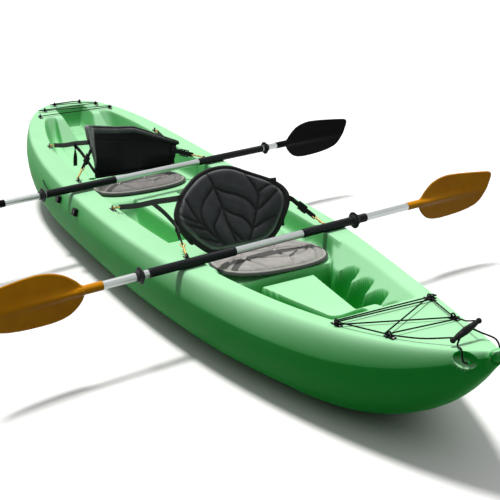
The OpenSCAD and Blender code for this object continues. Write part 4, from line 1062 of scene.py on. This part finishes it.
def blade_piece(name, neck):
    """A moulded blade, cupped and ribbed, on the socket that grips the shaft from neck on."""
    run = blade_long - collar
    middle = 0.50 * run
    outline = rounded_outline([(t * run - middle, w * blade_wide / 2) for t, w in blade_edge], 220, 60)

    def skin(face):
        def height(r, a, b):
            t = (a + middle) / run
            on_blade = np.clip(t, 0, 1)
            lie = 0.026 * t ** 2 - 0.010 * (b / (blade_wide / 2)) ** 2
            rib = (shaft_r + 0.001) * np.exp(-(b / (0.014 + 0.006 * on_blade)) ** 2) * (1 - on_blade) ** 0.8
            lip = 0.0012 * np.exp(-((r - 0.955) / 0.02) ** 2)
            return lie + face * (lip + (0.0020 + rib) * round_off((r - 0.94) / 0.06))
        return height

    stand = lambda a, b, h: np.stack([h, neck + collar + middle + a, b], -1)
    piece = closed_form(name, outline, skin(1), skin(-1), stand, rings=48)[0]
    socket = bevelled(solid("cylinder", vertices=48, radius=shaft_r + 0.0014, depth=0.088, end_fill_type="NGON",
                            location=(0, neck + 0.018, 0), rotation=across), 0.0012)
    smooth(socket)
    return join([piece, socket], name)


def turned(name, profile):
    """A closed ring turned about the shaft from a profile of places along it and radii."""
    n, sides = len(profile), 64
    turn = np.linspace(0, 2 * np.pi, sides, endpoint=False)
    points = [(r * math.cos(t), y, r * math.sin(t)) for y, r in profile for t in turn]
    faces = [(i * sides + j, i * sides + (j + 1) % sides, (i + 1) % n * sides + (j + 1) % sides,
              (i + 1) % n * sides + j) for i in range(n) for j in range(sides)]
    piece = add_mesh(name, points, faces)
    face_out(piece)
    smooth(piece, 35)
    return piece


def sleeve_profile(low, high):
    """A rubber grip sleeve with rounded lips and a low bead inside each end."""
    inner = shaft_r + bore_gap
    ends = [(0.0, 0.0004), (0.0006, 0.0015), (0.0016, 0.0020), (0.0060, 0.0020), (0.0072, 0.0026), (0.0090, 0.0026),
            (0.0102, 0.0020)]
    outer = [(low + d, shaft_r + h) for d, h in ends] + [(high - d, shaft_r + h) for d, h in ends[::-1]]
    return [(low, inner)] + outer + [(high, inner)]


def ring_profile(at, base):
    """A drip ring: a collar with a thin flared cup round its middle."""
    side = 1 if at > 0 else -1
    bore, half = base + bore_gap, 0.014
    shape = [(-half, 0.0028), (-0.0125, 0.0040), (-0.006, 0.0044), (-0.004, 0.0060), (-0.0035, 0.0105),
             (-0.0050, 0.0150), (-0.0042, 0.0158), (-0.0018, 0.0152), (0.0006, 0.0105), (0.0022, 0.0060),
             (0.0050, 0.0044), (0.0125, 0.0040), (half, 0.0028)]
    return [(at - side * half, bore)] + [(at + side * y, base + r) for y, r in shape] + [(at + side * half, bore)]


grip_r = shaft_r + 0.002
for seat, where, turn, length, tone, slot, grips, rings in (
        ("front", (0.589, 0.012), 4.75, 2.200, amber, "amber_plastic", ((-0.488, -0.145), (0.145, 0.445)),
         ((-0.521, shaft_r), (0.392, grip_r))),
        ("rear", (-0.531, 0.003), 7.1, 2.300, black_blade, "blade_black", ((-0.520, -0.186), (0.250, 0.620)),
         ((-0.537, shaft_r), (0.640, shaft_r)))):
    low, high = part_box(f"{seat}_shaft_port")
    lay_down = Matrix.Translation((*where, (low[2] + high[2]) / 2)) @ Matrix.Rotation(math.radians(turn), 4, "Z")
    for side, hand in hands:
        blade = blade_piece(f"{seat}_blade_{hand}_moulding", length / 2 - blade_long)
        if side < 0:
            blade.data.transform(Matrix.Scale(-1, 4, (0, 1, 0)))
        blade.data.transform(lay_down)
        face_out(blade)
        dress(blade, tone, f"{seat}_paddle", f"{seat}_blade_{hand}", slot)
        coat(nodes[f"{seat}_shaft_{hand}"], alloy)
    coat(nodes[f"{seat}_ferrule"], alloy)
    sleeves = join([turned(f"{seat}_sleeve", sleeve_profile(*ends)) for ends in grips], f"{seat}_grip_sleeves")
    collars = join([turned(f"{seat}_collar", ring_profile(*ring)) for ring in rings], f"{seat}_drip_collars")
    for piece, node, finish in ((sleeves, "grips", grip_rubber), (collars, "drip_rings", rubber)):
        piece.data.transform(lay_down)
        dress(piece, finish, f"{seat}_paddle", f"{seat}_{node}", "rubber")

# Floor and light: a plain pale floor under a high soft sun from astern and a pale sky.
# The light that the floor throws back is kept low, so the bottom of the hull stays deep green.
bpy.ops.mesh.primitive_plane_add(size=60, location=(0, 0, -0.0006))
floor = bpy.context.object
floor.name = "floor"
pale_floor, shader, place = new_finish("pale_floor", Roughness=0.95, Specular_IOR_Level=0.0)


def shown_ray(start):
    """1 for rays that show the surroundings themselves, 0 for those that only gather light."""
    rays = [start.node("ShaderNodeLightPath", {}, output=f"Is {kind} Ray")
            for kind in ("Camera", "Glossy", "Transmission")]
    return (rays[0] + rays[1] + rays[2]).clamp()


feed(shader, Base_Color=shown_ray(place).blend((0.10, 0.11, 0.10, 1), (0.94, 0.94, 0.94, 1)))
coat(floor, pale_floor)
sun = bpy.data.lights.new("key", "SUN")
sun.energy, sun.angle, sun.color = 2.9, math.radians(10), (1.0, 0.99, 0.96)
holder = bpy.data.objects.new("key", sun)
holder.location = (-2.0, -0.2, 7.4)
holder.rotation_euler = (-holder.location).to_track_quat("-Z", "Y").to_euler()
scene.collection.objects.link(holder)
world = scene.world or bpy.data.worlds.new("sky")
scene.world = world
world.use_nodes = True
tree = world.node_tree
heaven = Value(tree, tree.nodes.new("ShaderNodeTexCoord").outputs["Generated"])
quarter = heaven.axis("Y") * 0.45 - heaven.axis("X") * 0.35
sky = (heaven.axis("Z") * 0.75 + quarter).ramp((0.0, 0.07), (0.35, 0.38), (0.9, 0.72))
tree.links.new(shown_ray(heaven).blend(sky, (0.96, 0.96, 0.96, 1)).socket, tree.nodes["Background"].inputs["Color"])
scene.view_settings.view_transform = "Standard"
